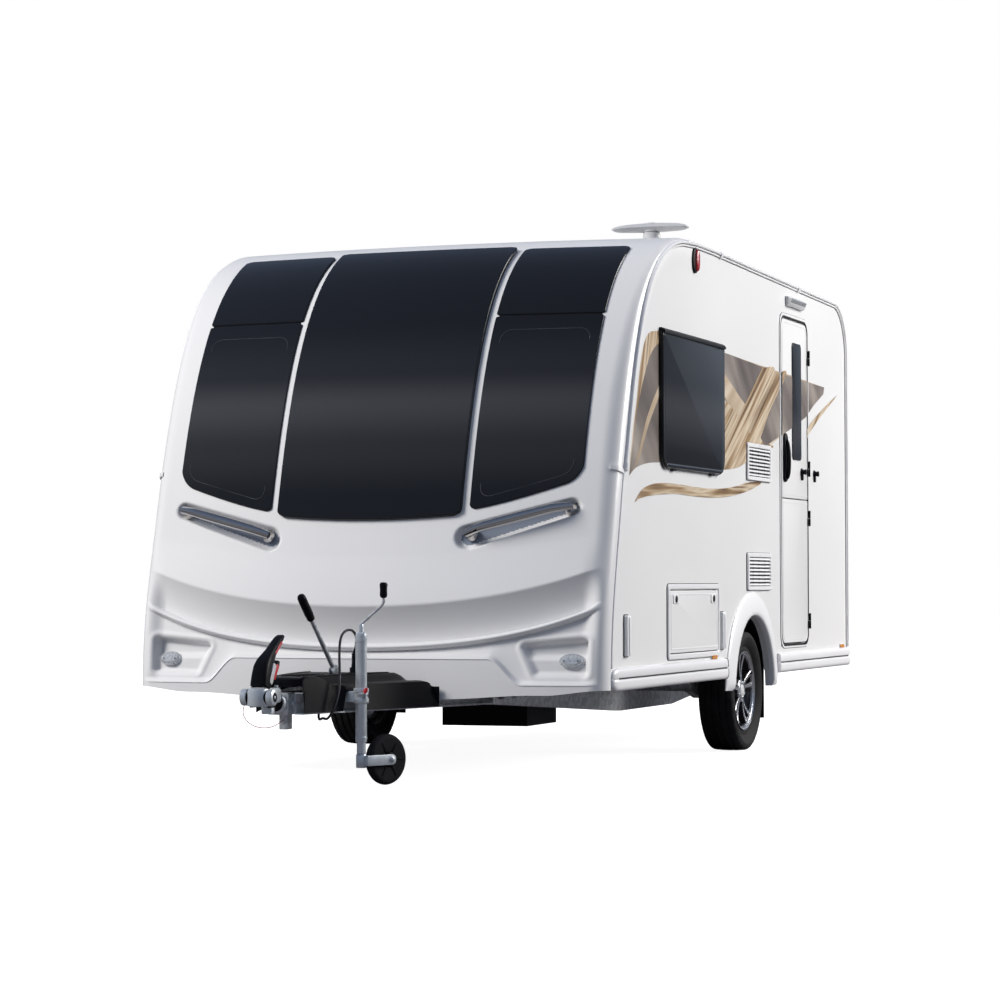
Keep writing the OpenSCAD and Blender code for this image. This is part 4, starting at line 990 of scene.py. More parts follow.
# ---------------------------------------------------------------- doors
def door_parts():
    """The split entrance door in its surround, with hinges, pane, grip and catch."""
    frame_part, seal = Shape(), Shape()
    s0, s1 = DOOR_S
    z0, z1 = DOOR_Z
    opening = rounded(s0 - 0.006, s1 + 0.006, z0 - 0.006, z1 + 0.006, 0.062)
    outer = rounded(s0 - 0.03, s1 + 0.03, z0 - 0.026, z1 + 0.03, 0.078)
    frame_part.ring(outer, inset(opening, -0.01), near, -0.001, 0.0045, trim, 0.0015)
    frame_part.ring(rounded(s0 - 0.016, s1 + 0.016, z0 - 0.018, z1 + 0.016, 0.066),
                    inset(opening, -0.001), near, -0.0318, 0.0005, trim, 0.001)
    seal.ring(inset(opening, -0.01), inset(opening, -0.0005), near, -0.004, 0.005, gasket, 0.001)
    seal.ring(inset(outer, -0.0022), outer, near, -0.001, 0.0022, dark_seam_and_shadow, 0.0005)
    step = rounded(s0 + 0.02, s1 - 0.02, 0.514, 0.5245, 0.003)
    frame_part.slab(step, near, -0.03, -0.004, grey, 0.001)
    frame_part.done("door_surround", replaces=["door_frame"])
    seal.done("door_seal")
    pin = turned(HW + 0.013, s1 + 0.01, 0)
    for name, low, high, radii, heights in (("lower_door", z0, SPLIT - 0.003,
                                             (0.056, 0.056, 0.004, 0.004), (0.621, 1.18)),
                                            ("upper_door", SPLIT + 0.003, z1,
                                             (0.004, 0.004, 0.056, 0.056), (1.45, 2.055))):
        leaf, dark = Shape(), Shape()
        outline = rounded(s0, s1, low, high, radii)
        leaf.slab(outline, near, -0.028, 0.004, white, 0.004, 4)
        groove = inset(outline, 0.02)
        leaf.ring(inset(outline, 0.017), groove, near, 0.003, 0.0055, trim, 0.0008)
        dark.ring(inset(outline, 0.01), inset(outline, 0.022), near, -0.03, -0.0275, gasket,
                  0.0005)
        for z in heights:
            dark.lathe([(0.0052, z - 0.02), (0.0052, z + 0.0218)], pin, black, 16)
            dark.plate(s1 - 0.01, s1 + 0.009, z - 0.018, z + 0.02, 0.003, near, 0.004, 0.01, black,
                       0.002)
        leaf.done(f"{name}_leaf", body=name, replaces=[name])
        dark.done(f"{name}_fittings", body=name)
    hinges = Shape()
    for z in (0.621, 1.18, 1.45, 2.055):
        hinges.lathe([(0.0052, z + 0.0227), (0.0052, z + 0.064)], pin, black, 16)
        hinges.plate(s1 + 0.01, s1 + 0.02, z + 0.024, z + 0.062, 0.003, near, 0.0035, 0.01, black,
                     0.002)
    hinges.done("door_hinges")
    pane_part = Shape()
    win = rounded(3.155, 3.345, 1.51, 2.14, 0.028)
    pane_part.slab(win, near, 0.0038, 0.0098, glass, 0.003, 4)
    pane_part.slab(inset(win, 0.02), near, -0.0275, -0.0295, glass, 0.001)
    pane_part.done("door_pane", body="upper_door", replaces=["door_window"])
    grip = Shape()
    plate = rounded(2.957, 3.027, 1.385, 1.645, 0.034)
    grip.slab(plate, near, 0.0038, 0.0175, black, 0.008, 5)
    lever = [(2.992, 1.405), (2.981, 1.44), (2.978, 1.5), (2.979, 1.56), (2.986, 1.605)]
    bulge = [sin(pi * t) for t in np.linspace(0, 1, 21)]
    grip.tube([near(s, z, 0.018 + 0.014 * q ** 0.5) for (s, z), q in zip(smooth(lever, 5), bulge)],
              [0.008 + 0.004 * q for q in bulge], black, 16)
    grip.plate(3.006, 3.019, 1.43, 1.6, 0.006, near, 0.016, 0.02, alloy, 0.002)
    grip.lathe([(0.011, 0.016), (0.011, 0.0205), (0.009, 0.0215)], moved(near, 3.0, 1.412), chrome,
               24)
    grip.done("door_grip", body="upper_door", replaces=["door_handle"], slot="black_plastic")
    catch, hook = Shape(), Shape()
    for part, s in ((catch, 3.358), (hook, 3.658)):
        base = 0.0035 if s < 3.5 else -0.001
        part.lathe([(0.021, base), (0.021, base + 0.004), (0.015, base + 0.01),
                    (0.012, base + 0.018), (0.0155, base + 0.024), (0.014, base + 0.0285)],
                   moved(near, s, 1.45), black, 28)
        part.plate(s - 0.011, s + 0.011, 1.405, 1.447, 0.006, near, base, base + 0.012, black,
                   0.003)
    catch.done("door_catch", body="upper_door")
    hook.done("door_hook")


def hatch(name, body, place, s0, s1, z0, z1, nodes, hinge_low):
    """A locker door in its moulded frame, with lining and latches."""
    frame_part, seal, leaf, lining = Shape(), Shape(), Shape(), Shape()
    opening = rounded(s0 - 0.0045, s1 + 0.0045, z0 - 0.0045, z1 + 0.0045, 0.012)
    outer = rounded(s0 - 0.03, s1 + 0.03, z0 - 0.03, z1 + 0.03, 0.024)
    frame_part.ring(outer, opening, place, -0.001, 0.01, trim, 0.005)
    frame_part.ring(inset(opening, -0.01), opening, place, -0.0318, 0.0005, trim, 0.001)
    seal.ring(inset(outer, -0.0035), outer, place, -0.001, 0.0035, dark_seam_and_shadow, 0.001)
    seal.ring(inset(opening, -0.0015), inset(opening, 0.002), place, -0.022, -0.004, gasket, 0.001)
    door = rounded(s0, s1, z0, z1, 0.01)
    leaf.slab(door, place, -0.022, 0.007, white, 0.0035, 4)
    leaf.ring(rounded(s0 + 0.014, s1 - 0.014, z0 + 0.014, z1 - 0.014, 0.012),
              rounded(s0 + 0.022, s1 - 0.022, z0 + 0.022, z1 - 0.022, 0.008), place, 0.006, 0.0084,
              trim, 0.0014)
    holes = [(s0 + 0.09, z1 - 0.04), (s1 - 0.09, z1 - 0.04)] if hinge_low else \
        [(s0 + 0.05, (z0 + z1) / 2 + 0.035)]
    for s, z in holes:
        leaf.plate(s - 0.042, s + 0.042, z - 0.022, z + 0.022, 0.01, place, 0.005, 0.0115, trim,
                   0.003)
        leaf.lathe([(0.017, 0.008), (0.017, 0.0135), (0.013, 0.015)], moved(place, s, z), black,
                   28)
    box_z0, box_z1 = z0 - 0.01, z1 + 0.006
    deep = -0.298
    bottom = rounded(s0 - 0.0055, s1 + 0.0055, box_z0 + 0.003, box_z1 - 0.003, 0.004)
    lining.ring(rounded(s0 - 0.009, s1 + 0.009, box_z0, box_z1, 0.004), bottom, place, -0.0325,
                deep, inner, 0.0)
    lining.slab(bottom, place, deep, deep + 0.004, inner, 0.0005)
    frame_part.done(f"{name}_surround", replaces=nodes[:1])
    seal.done(f"{name}_seal")
    lining.done(f"{name}_lining")
    leaf.done(f"{name}_leaf", body=body, replaces=nodes[1:])


# ---------------------------------------------------------------- film stripes
def clip(poly, axis, value, keep_above):
    """The part of a polygon on one side of a straight line."""
    out = []
    for p, q in zip(poly, poly[1:] + poly[:1]):
        dp, dq = p[axis] - value, q[axis] - value
        inside_p, inside_q = (dp >= 0) == keep_above, (dq >= 0) == keep_above
        if inside_p:
            out.append(p)
        if inside_p != inside_q:
            t = dp / (dp - dq)
            out.append((p[0] + t * (q[0] - p[0]), p[1] + t * (q[1] - p[1])))
    return out


def films():
    """Plain taupe and gold bands that sweep along each side."""
    left_edge = smooth([(0.25, 1.325), (0.297, 1.512), (0.36, 1.652), (0.424, 1.839),
                        (0.487, 1.935), (0.566, 1.985), (0.7, 2.003)])
    left_inner = smooth([(0.726, 1.955), (0.6, 1.9), (0.501, 1.807), (0.391, 1.654), (0.328, 1.54),
                         (0.25, 1.325)])
    low_left = smooth([(0.25, 1.325), (0.356, 1.365), (0.543, 1.392), (0.8, 1.405)])
    shapes = [(cream, [(1.7, 1.988), (3.905, 1.945)]
                      + smooth([(3.905, 1.94), (3.5, 1.8), (3.1, 1.68), (2.75, 1.575),
                                (2.35, 1.49), (2.04, 1.425), (1.7, 1.402)])),
              (taupe, left_inner[::-1] + [(0.8, 1.965), (0.8, 1.405)] + low_left[::-1][1:-1]),
              (gold_rise, left_edge + [(0.74, 2.003), (0.74, 1.96)] + left_inner[:-1]),
              (taupe, [(1.7, 1.99), (2.7, 1.962)]
                      + smooth([(2.7, 1.962), (2.45, 1.86), (2.1, 1.7), (1.7, 1.58)])[1:]),
              (cream, smooth([(1.7, 1.93), (1.95, 1.84), (2.3, 1.73), (2.62, 1.7)])
                      + smooth([(2.62, 1.69), (2.2, 1.66), (1.95, 1.71), (1.7, 1.84)])),
              (cream, smooth([(0.255, 1.33), (0.36, 1.4), (0.52, 1.6), (0.74, 1.78)])
                      + smooth([(0.74, 1.73), (0.54, 1.56), (0.4, 1.41), (0.255, 1.33)])[:-1]),
              (cream, smooth([(2.6, 1.57), (2.85, 1.7), (3.2, 1.8), (3.72, 1.86)])
                      + smooth([(3.66, 1.83), (3.3, 1.75), (2.95, 1.66), (2.6, 1.57)])[:-1]),
              (gold, smooth([(1.7, 1.78), (2.0, 1.71), (2.35, 1.6), (2.77, 1.566)])
                     + smooth([(2.77, 1.56), (2.245, 1.462), (2.041, 1.425), (1.7, 1.4)])),
              (taupe, smooth([(2.95, 1.955), (3.45, 1.948), (3.905, 1.945)])
                      + smooth([(3.882, 1.905), (3.66, 1.83), (3.4, 1.74), (2.6, 1.555)])
                      + smooth([(2.52, 1.6), (2.75, 1.78), (2.95, 1.955)])[:-1]),
              (gold, smooth([(2.56, 1.964), (2.8, 1.96), (2.34, 1.68), (2.02, 1.428)])
                     + smooth([(1.7, 1.404), (1.75, 1.47), (2.12, 1.7), (2.56, 1.964)])[:-1]),
              (gold, smooth([(2.87, 1.958), (3.02, 1.956), (2.56, 1.665), (2.22, 1.46)])
                     + smooth([(2.08, 1.434), (2.1, 1.47), (2.45, 1.7), (2.87, 1.958)])[:-1]),
              (gold, smooth([(3.477, 1.69), (3.8, 1.8), (4.2, 1.918)])
                     + smooth([(4.2, 1.912), (3.8, 1.77), (3.477, 1.64)])[1:]),
              (gold_level, smooth([(0.324, 1.209), (0.4, 1.252), (0.479, 1.28), (0.669, 1.305),
                                   (0.95, 1.311), (1.3, 1.306), (1.663, 1.309), (1.963, 1.327),
                                   (2.274, 1.36), (2.52, 1.372)])
                           + smooth([(2.5, 1.358), (2.274, 1.318), (1.962, 1.284), (1.662, 1.266),
                                     (1.3, 1.262), (0.946, 1.264), (0.573, 1.246), (0.4, 1.228)]))]
    wall, door = Shape(), Shape()
    for place in (near, off):
        for k, (mat, poly) in enumerate(shapes):
            lift = 0.0004 + 0.00018 * k
            if place is off:
                wall.sheet(poly, place, lift, mat)
                continue
            wall.sheet(clip(poly, 0, DOOR_S[0] - 0.03, False), place, lift, mat)
            leaf_bit = clip(clip(clip(poly, 0, DOOR_S[0] + 0.004, True), 0, DOOR_S[1] - 0.004,
                                 False), 1, SPLIT + 0.008, True)
            wall.sheet(clip(poly, 0, DOOR_S[1] + 0.03, True), place, lift, mat)
            door.sheet(leaf_bit, place, 0.0057 + lift, mat)
    wall.done("side_films", slot="white_trim")
    door.done("door_film", body="upper_door", slot="white_trim")


# ---------------------------------------------------------------- roof
AERIAL_X, AERIAL_S = 0.9, 1.33


def roof_parts():
    """Rooflights, and the aerial's mast and head."""
    tilt = -ROOF_FALL / ROOF_RUN

    def on_roof(x, s):
        return lambda a, b, h: (x + a, st(s + b), roof_z(s) + tilt * b + h)

    lights, rims = Shape(), Shape()
    for x, s, w, d, high in ((0.0, 2.25, 0.38, 0.28, 0.056), (0.25, 3.8, 0.21, 0.21, 0.05)):
        at = on_roof(x, s)
        outline = rounded(-w, w, -d, d, 0.05)
        rims.slab(outline, at, 0.0, 0.02, trim, 0.006, 4)
        base = inset(outline, 0.014)

        def drawn_in(r, base=base, w=w, d=d):
            return [(a * (1 - r / w), b * (1 - r / d)) for a, b in base]

        dome = [[at(a, b, 0.018) for a, b in base]]
        for t in np.linspace(0.15, 1, 9):
            ring = drawn_in(0.05 * (1 - cos(t * pi / 2)))
            dome.append([at(a, b, 0.018 + (high - 0.02) * sin(t * pi / 2)) for a, b in ring])
        for r in (0.058, 0.07, 0.095):
            dome.append([at(a, b, high - 0.002) for a, b in drawn_in(r)])
        lights.stack(dome, opal)
    lights.done("rooflight_domes", replaces=["rooflights"])
    rims.done("rooflight_frames")
    mast, head = Shape(), Shape()
    at = on_roof(AERIAL_X, AERIAL_S)
    mast.lathe([(0.06, 0.0), (0.06, 0.008), (0.056, 0.016), (0.046, 0.024), (0.042, 0.036),
                (0.04, 0.056)], at, grey, 48)
    mast.done("mast_body", replaces=["aerial_mast"])
    base = roof_z(AERIAL_S)

    def wing(t, u):
        """Depth and thickness of the swept blade at t from hub to tip."""
        chord = 0.06 - 0.022 * t
        return (u * chord + 0.004 - 0.03 * t ** 1.3,
                (0.021 - 0.007 * t) * (1 - abs(u) ** 3) + 0.002)

    for sign in (1, -1):
        loops = []
        for t in [0, 0.08, 0.16, 0.25, 0.35, 0.45, 0.55, 0.65, 0.75, 0.84, 0.91, 0.96, 0.985, 1]:
            thick = sqrt(max(0.0, 1 - t ** 8)) + 0.02
            ring = []
            for q in around(28):
                u = copysign(abs(cos(q)) ** 0.8, cos(q))
                b, h = wing(t, u * (0.6 + 0.4 * thick))
                h *= thick * copysign(abs(sin(q)) ** 0.6, sin(q))
                ring.append((AERIAL_X + sign * 0.188 * t, st(AERIAL_S) + b,
                             base + 0.08 + h - 0.006 * t * t))
            loops.append(ring)
        head.stack(loops, grey)
    head.lathe([(0.03, 0.0575), (0.042, 0.059), (0.044, 0.068), (0.038, 0.078), (0.037, 0.094),
                (0.034, 0.1005), (0.026, 0.1025)], turned(AERIAL_X, AERIAL_S, base), grey, 40)
    head.done("aerial_blades", body="aerial_head", replaces=["aerial_head"])


# ---------------------------------------------------------------- wheels
TREAD = [(-0.068, 0.226), (-0.078, 0.237), (-0.086, 0.252), (-0.0905, 0.262), (-0.0925, 0.272),
         (-0.0912, 0.2735), (-0.09, 0.283), (-0.0865, 0.291), (-0.082, 0.2965), (-0.076, 0.2995),
         (-0.059, 0.301), (-0.058, 0.294), (-0.05, 0.294), (-0.049, 0.3018), (-0.024, 0.3028),
         (-0.023, 0.295), (-0.014, 0.295), (-0.013, 0.303)]
TREAD = TREAD + [(-w, r) for w, r in TREAD[::-1]]


def wheel(sign, tyre_body, tyre_node, rim_node):
    """A tyre with grooves and shoulder sipes on a rim of five split spokes."""
    ay, az = st(AXLE_S), AXLE_Z

    def at(a, b, h):
        return (sign * (WHEEL_X + h), ay + a, az + b)

    rubber = Shape()
    steps, loops = 180, []
    scale = TYRE_R / 0.303
    bead = [(-0.06, 0.196), (-0.067, 0.204), (-0.0685, 0.213), (-0.067, 0.217)]
    profile = bead + TREAD + [(-w, r) for w, r in bead[::-1]]
    for k in range(steps):
        t = 2 * pi * k / steps
        ring = []
        for w, r in profile:
            if abs(w) > 0.0585 and r > 0.285 and k % 5 == 0:
                r -= 0.0045
            if 0.024 < abs(w) < 0.05 and r > 0.2955 and k % 5 == 2:
                r -= 0.0035
            if abs(w) < 0.0132 and r > 0.2955 and k % 6 == 3:
                r -= 0.003
            ring.append(at(r * scale * cos(t), r * scale * sin(t), w))
        loops.append(ring)
    rubber.stack(loops, tread, wrap=True)
    rubber.done(f"{tyre_node}_rubber", body=tyre_body, replaces=[tyre_node], angle=30)

    rim, dark = Shape(), Shape()
    shell = [(0.1945, 0.069), (0.1975, 0.073), (0.201, 0.0725), (0.1985, 0.068), (0.186, 0.064),
             (0.18, 0.056), (0.1775, 0.03), (0.166, 0.012), (0.166, -0.03), (0.176, -0.05),
             (0.185, -0.062), (0.198, -0.07), (0.1975, -0.066), (0.186, -0.055), (0.182, -0.045),
             (0.174, -0.02), (0.174, 0.02), (0.186, 0.045), (0.191, 0.06)]
    rim.lathe(shell[:6] + [(0.186, 0.05), (0.191, 0.06)], at, alloy, 96, wrap=True)
    dark.lathe(shell[4:], at, alloy_dark, 96, wrap=True)
    dark.lathe([(0.15, -0.03), (0.15, -0.022), (0.03, -0.018), (0.03, -0.028)], at, galvanised, 64,
               wrap=True)
    for k in range(5):
        for lean in (-1, 1):
            base = radians(90 + 72 * k)
            cross = []
            for t in np.linspace(0, 1, 13):
                r = 0.036 + 0.148 * t
                ang = base + lean * (0.155 - 0.02 * t + 0.015 * sin(pi * t)) \
                    * (0.55 + 0.75 * t)
                half = 0.0085 + 0.0035 * t * t - 0.0015 * sin(pi * t)
                face = 0.06 - 0.01 * sin(pi * (t * 0.9 + 0.05)) + 0.004 * t
                cross.append((r, ang, half, face))
            for part, mat, lo, hi, grow in ((dark, alloy_dark, -0.03, -0.0012, 1.22),
                                            (rim, alloy, -0.004, 0.0, 0.92)):
                loops = []
                for r, ang, half, face in cross:
                    c, n = (cos(ang), sin(ang)), (-sin(ang), cos(ang))
                    ring = []
                    for e, h in ((-1, face + lo), (-1, face + hi - 0.0012), (-0.86, face + hi),
                                 (0.86, face + hi), (1, face + hi - 0.0012), (1, face + lo)):
                        ring.append(at(r * c[0] + e * half * grow * n[0],
                                       r * c[1] + e * half * grow * n[1], h))
                    loops.append(ring)
                part.stack(loops, mat)
    dark.lathe([(0.058, 0.018), (0.06, 0.046), (0.054, 0.0535), (0.044, 0.056), (0.001, 0.056)],
               at, alloy_dark, 64)
    rim.lathe([(0.056, 0.048), (0.0575, 0.0525), (0.05, 0.0575), (0.036, 0.059), (0.033, 0.056)],
              at, alloy, 64, caps=(False, False))
    rim.lathe([(0.031, 0.05), (0.0315, 0.0605), (0.027, 0.0635), (0.012, 0.0645),
               (0.0005, 0.0647)], at, grey, 48)
    for k in range(5):
        t = radians(54 + 72 * k)
        rim.bolt(0.0085, 0.05, 0.06, moved(at, 0.049 * cos(t), 0.049 * sin(t)), 0.0015)
    rim.lathe([(0.0048, 0.06), (0.0044, 0.082), (0.006, 0.083), (0.006, 0.092), (0.004, 0.094)],
              moved(at, 0.176 * cos(0.5), 0.176 * sin(0.5), -0.022), gasket, 12)
    rim.done(f"{rim_node}_face", body=tyre_body, replaces=[rim_node], slot="wheel_alloy", angle=30)
    dark.done(f"{rim_node}_shell", body=tyre_body, slot="wheel_alloy", angle=30)


# ---------------------------------------------------------------- drawbar and coupling
SOCKET_S, COUPLING_Z = -1.225, 0.39
COVER_TOP = 0.4623
CLAMP_Z = 0.38
JOCKEY = (0.25, -0.74)


def turned(x, s, z, axis="z", lean=0.0, facing=1):
    """Placing for turned parts: heights run along the axis. Axis z leans forward by lean;
    facing -1 turns axis x round."""
    if axis == "x":
        return lambda a, b, h: (x + facing * h, st(s) + a, z + b)
    if axis == "y":
        return lambda a, b, h: (x + a, st(s) + h, z + b)
    c, n = cos(lean), sin(lean)
    return lambda a, b, h: (x + a, st(s) + b * c - h * n, z + b * n + h * c)


def coupling():
    """The coupling's casting, its friction discs and pads."""
    metal, dark, cast = Shape(), Shape(), Shape()
    cup = turned(0, SOCKET_S, COUPLING_Z)
    cast.lathe([(0.0254, -0.038), (0.03, -0.0395), (0.044, -0.038), (0.046, -0.03), (0.046, 0.02),
                (0.042, 0.032), (0.03, 0.038), (0.0005, 0.0398)], cup, zinc, 48,
               caps=(False, True))
    cast.lathe([(0.0254, -0.038), (0.0254, 0.018), (0.0005, 0.0185)], cup, zinc, 48,
               caps=(False, True))
    neck = []
    for s, w, h0, h1 in ((-1.225, 0.034, -0.03, 0.033), (-1.185, 0.035, -0.033, 0.034),
                         (-1.12, 0.031, -0.032, 0.033), (-1.068, 0.03, -0.03, 0.032)):
        neck.append([(a, st(s), COUPLING_Z + b) for a, b in rounded(-w, w, h0, h1, 0.012)])
    cast.stack(neck, zinc)
    for sign in (1, -1):
        flip = turned(0, SOCKET_S, COUPLING_Z - 0.002, "x", facing=sign)
        metal.lathe([(0.03, 0.044), (0.034, 0.046), (0.0345, 0.05), (0.0345, 0.066),
                     (0.033, 0.0705), (0.029, 0.0725), (0.02, 0.0735), (0.02, 0.069)], flip, zinc,
                    56, caps=(False, False))
        dark.lathe([(0.0205, 0.06), (0.0205, 0.0712), (0.015, 0.0722), (0.006, 0.0724)], flip,
                   black, 40)
        metal.lathe([(0.0065, 0.066), (0.0065, 0.0738), (0.0045, 0.0745), (0.0005, 0.0745)], flip,
                    zinc, 6)
        dark.lathe([(0.029, 0.03), (0.031, 0.036), (0.031, 0.044), (0.028, 0.046)], flip, black,
                   48)
        dark.block((sign * 0.04 - 0.006, st(-1.215), 0.345),
                   (sign * 0.04 + 0.006, st(-1.15), 0.352), black, 0.002)
    for k in (-1, 1):
        metal.bolt(0.009, 0, 0.012, turned(0.016 * k, -1.105 + 0.02 * k, COUPLING_Z + 0.031))
    metal.block((-0.024, st(-1.15), 0.318), (0.024, st(-1.115), 0.352), zinc, 0.004)
    cast.done("coupling_casting", replaces=["coupling_head"], slot="zinc_steel")
    metal.done("coupling_discs", slot="zinc_steel")
    dark.done("coupling_pads")


def stabiliser():
    """Curved black lever with inserts and a pale side panel."""
    lever, inserts, side_part = Shape(), Shape(), Shape()
    lean = radians(-28)
    c, n = cos(lean), sin(lean)

    def at(x, b, h):
        bend = 0.9 * max(0.0, h - 0.1) ** 1.5
        return (x, st(SOCKET_S + 0.012) + b * c - h * n + bend * 1.1,
                COUPLING_Z + 0.034 + b * n + h * c - bend * 0.4)

    spine = [(0.004, 0.036, 0.03, 0.0), (0.02, 0.037, 0.036, 0.0), (0.05, 0.036, 0.04, -0.002),
             (0.085, 0.035, 0.04, -0.004), (0.12, 0.031, 0.034, -0.002),
             (0.15, 0.025, 0.027, 0.002), (0.18, 0.021, 0.021, 0.005),
             (0.215, 0.0195, 0.017, 0.007), (0.255, 0.0185, 0.014, 0.009),
             (0.272, 0.016, 0.0095, 0.011), (0.278, 0.01, 0.0045, 0.012)]
    loops = []
    for h, w, d, shift in spine:
        loops.append([at(a, b + shift, h) for a, b in rounded(-w, w, -d, d, min(w, d) * 0.55, 5)])
    lever.stack(loops, black)
    second = []
    for h, w, b0, b1 in ((0.03, 0.02, 0.03, 0.06), (0.06, 0.021, 0.036, 0.076),
                         (0.11, 0.02, 0.048, 0.088), (0.15, 0.018, 0.06, 0.092),
                         (0.168, 0.015, 0.068, 0.086)):
        second.append([at(a, b, h) for a, b in rounded(-w, w, b0, b1, 0.01, 4)])
    lever.stack(second, black)
    for h in (0.055, 0.066, 0.077, 0.088):
        lever.stack([[at(a, b, h + e) for a, b in rounded(-0.02, 0.02, -0.0435, -0.03, 0.004)]
                     for e in (-0.003, 0.003)], black)
    for sign in (1, -1):
        def flank(a, b, h, sign=sign):
            return at(sign * h, b, a)

        strip = [(0.028, 0.03), (0.06, 0.034), (0.1, 0.03), (0.118, 0.026)]
        inserts.tube([at(sign * 0.03, 0.019 - 0.03 * max(0, h - 0.08), h)
                      for h, _ in smooth(strip, 6)], 0.0055, red_grip, 12)
        inserts.plate(0.17, 0.24, 0.006, 0.021, 0.005, flank, 0.015, 0.0222, red_grip, 0.002)
        inserts.plate(0.075, 0.145, 0.056, 0.08, 0.007, flank, 0.015, 0.0222, red_grip, 0.002)
        side_part.plate(0.03, 0.122, 0.004, 0.034, 0.01, flank, 0.024, 0.0372, grey, 0.004)
    lever.plate(-0.028, 0.028, -0.03, 0.03, 0.012, at, -0.006, 0.012, black, 0.003)
    lever.done("stabiliser_body", replaces=["stabiliser_lever"])
    inserts.done("stabiliser_inserts", slot="red_cable")
    side_part.done("stabiliser_sides")


def bellows_and_housing():
    """The gaiter on the shaft and the overrun device behind it."""
    gaiter, steel = Shape(), Shape()
    profile = [(0.031, 0.0)]
    for k in range(8):
        s = 0.004 * k
        profile += [(0.0335 + 0.006 * (k / 7), s + 0.0008), (0.0285 + 0.006 * (k / 7), s + 0.0028)]
    profile.append((0.036, 0.0318))
    gaiter.lathe(profile, turned(0, -1.067, COUPLING_Z - 0.032, "y"), gasket, 48)
    steel.plate(-0.048, 0.048, 0.3085, 0.3995, 0.01, turned(0, -1.035, 0, "y"), 0.0, 0.37,
                galvanised, 0.004)
    steel.lathe([(0.04, 0.0), (0.043, 0.004), (0.043, 0.02), (0.04, 0.024)],
                turned(0, -1.06, COUPLING_Z - 0.032, "y"), galvanised, 48)
    steel.plate(-0.018, 0.018, st(-0.985), st(-0.925), 0.006, level, 0.309, 0.246, galvanised,
                0.004)
    for s in (-0.99, -0.84, -0.72):
        for sign in (1, -1):
            steel.bolt(0.01, 0.046, 0.056, turned(0, s, 0.356, "x", facing=sign))
    gaiter.done("bellows")
    steel.done("overrun_body", replaces=["overrun_housing"], slot="galvanised_steel")


def cover():
    """Moulded black cover with a raised nose, a ribbed deck and turned-down sides."""
    part = Shape()
    s0, s1 = -1.01, -0.206
    x0, x1, foot, top = 0.11, 0.395, 0.316, COVER_TOP

    def half(s):
        return x0 + (x1 - x0) * (s - s0) / (s1 - s0)

    stations = [s0 + (s1 - s0) * t
                for t in np.concatenate([[0, 0.006, 0.018, 0.035], np.linspace(0.06, 0.95, 34),
                                         [0.972, 0.988, 1.0]])]
    loops = []
    for k, s in enumerate(stations):
        w = half(s)
        edge = min(k, len(stations) - 1 - k)
        drop = (0.02, 0.009, 0.003, 0.0)[min(edge, 3)]
        crown = 0.004 * sin(pi * min(1, max(0, (s - s0) / 0.62)))
        step = 0.013 * ramp(-0.56, -0.52, s) * (1 - ramp(-0.3, -0.24, s))
        gap = ramp(-0.778, -0.772, s) * (1 - ramp(-0.708, -0.702, s))
        wing = 0.036 * ramp(-0.93, -0.8, s)
        ring = []
        for t in np.linspace(-1, 1, 41):
            a = abs(t)
            sign = 1 if t >= 0 else -1
            if a < 0.5:
                x, z = a / 0.5 * w * 0.52, top - drop
                z -= step * (1 - ramp(0.2, 0.34, a))
                z += crown * (1 - a / 0.5)
            elif a < 0.64:
                q = (a - 0.5) / 0.14
                x, z = w * (0.52 + 0.16 * q), top - drop - wing * ramp(0, 1, q)
            elif a < 0.84:
                q = (a - 0.64) / 0.2
                x, z = w * (0.68 + 0.22 * q), top - drop - wing + 0.004 * sin(pi * q)
            elif a < 0.88:
                q = (a - 0.84) / 0.04
                x, z = w * (0.9 + 0.015 * q), top - drop - wing - 0.006 * q
            else:
                q = (a - 0.88) / 0.12
                x = w * (0.915 + 0.085 * q)
                low = foot if not (sign > 0 and gap > 0.5) else 0.404
                z = top - drop - wing - 0.006 + (low - top + drop + wing + 0.006) * q
            ring.append((sign * x, st(s), z))
        loops.append(ring)
    part.stack(loops, black, caps=(False, False), closed=False)
    for end, back, drop in ((loops[0], 0.002, 0.02), (loops[-1], 0.0, 0.0)):
        hem = [(x, y + back, max(min(z - drop, 0.43), 0.402)) for x, y, z in end]
        part.stack([end, hem], black, caps=(False, False), closed=False)
    for sign in (1, -1):
        ridge = [(sign * half(s) * 0.5, st(s), top + 0.0005 - (0.008 if s > -0.26 else 0))
                 for s in np.linspace(-0.93, -0.25, 22)]
        part.tube(ridge, [0.0035 + 0.0035 * sin(pi * t) for t in np.linspace(0, 1, 22)], black, 10)
    for s in np.linspace(-0.9, -0.66, 7):
        part.tube([(x, st(s), top + 0.002) for x in np.linspace(-0.045, 0.045, 5)], 0.0032, black,
                  8)
    part.lathe([(0.034, 0.0), (0.034, 0.006), (0.03, 0.01), (0.0295, 0.028), (0.0005, 0.028)],
               turned(0.12, -0.48, COVER_TOP), black, 36)
    part.done("cover_skin", replaces=["drawbar_cover"], angle=32)


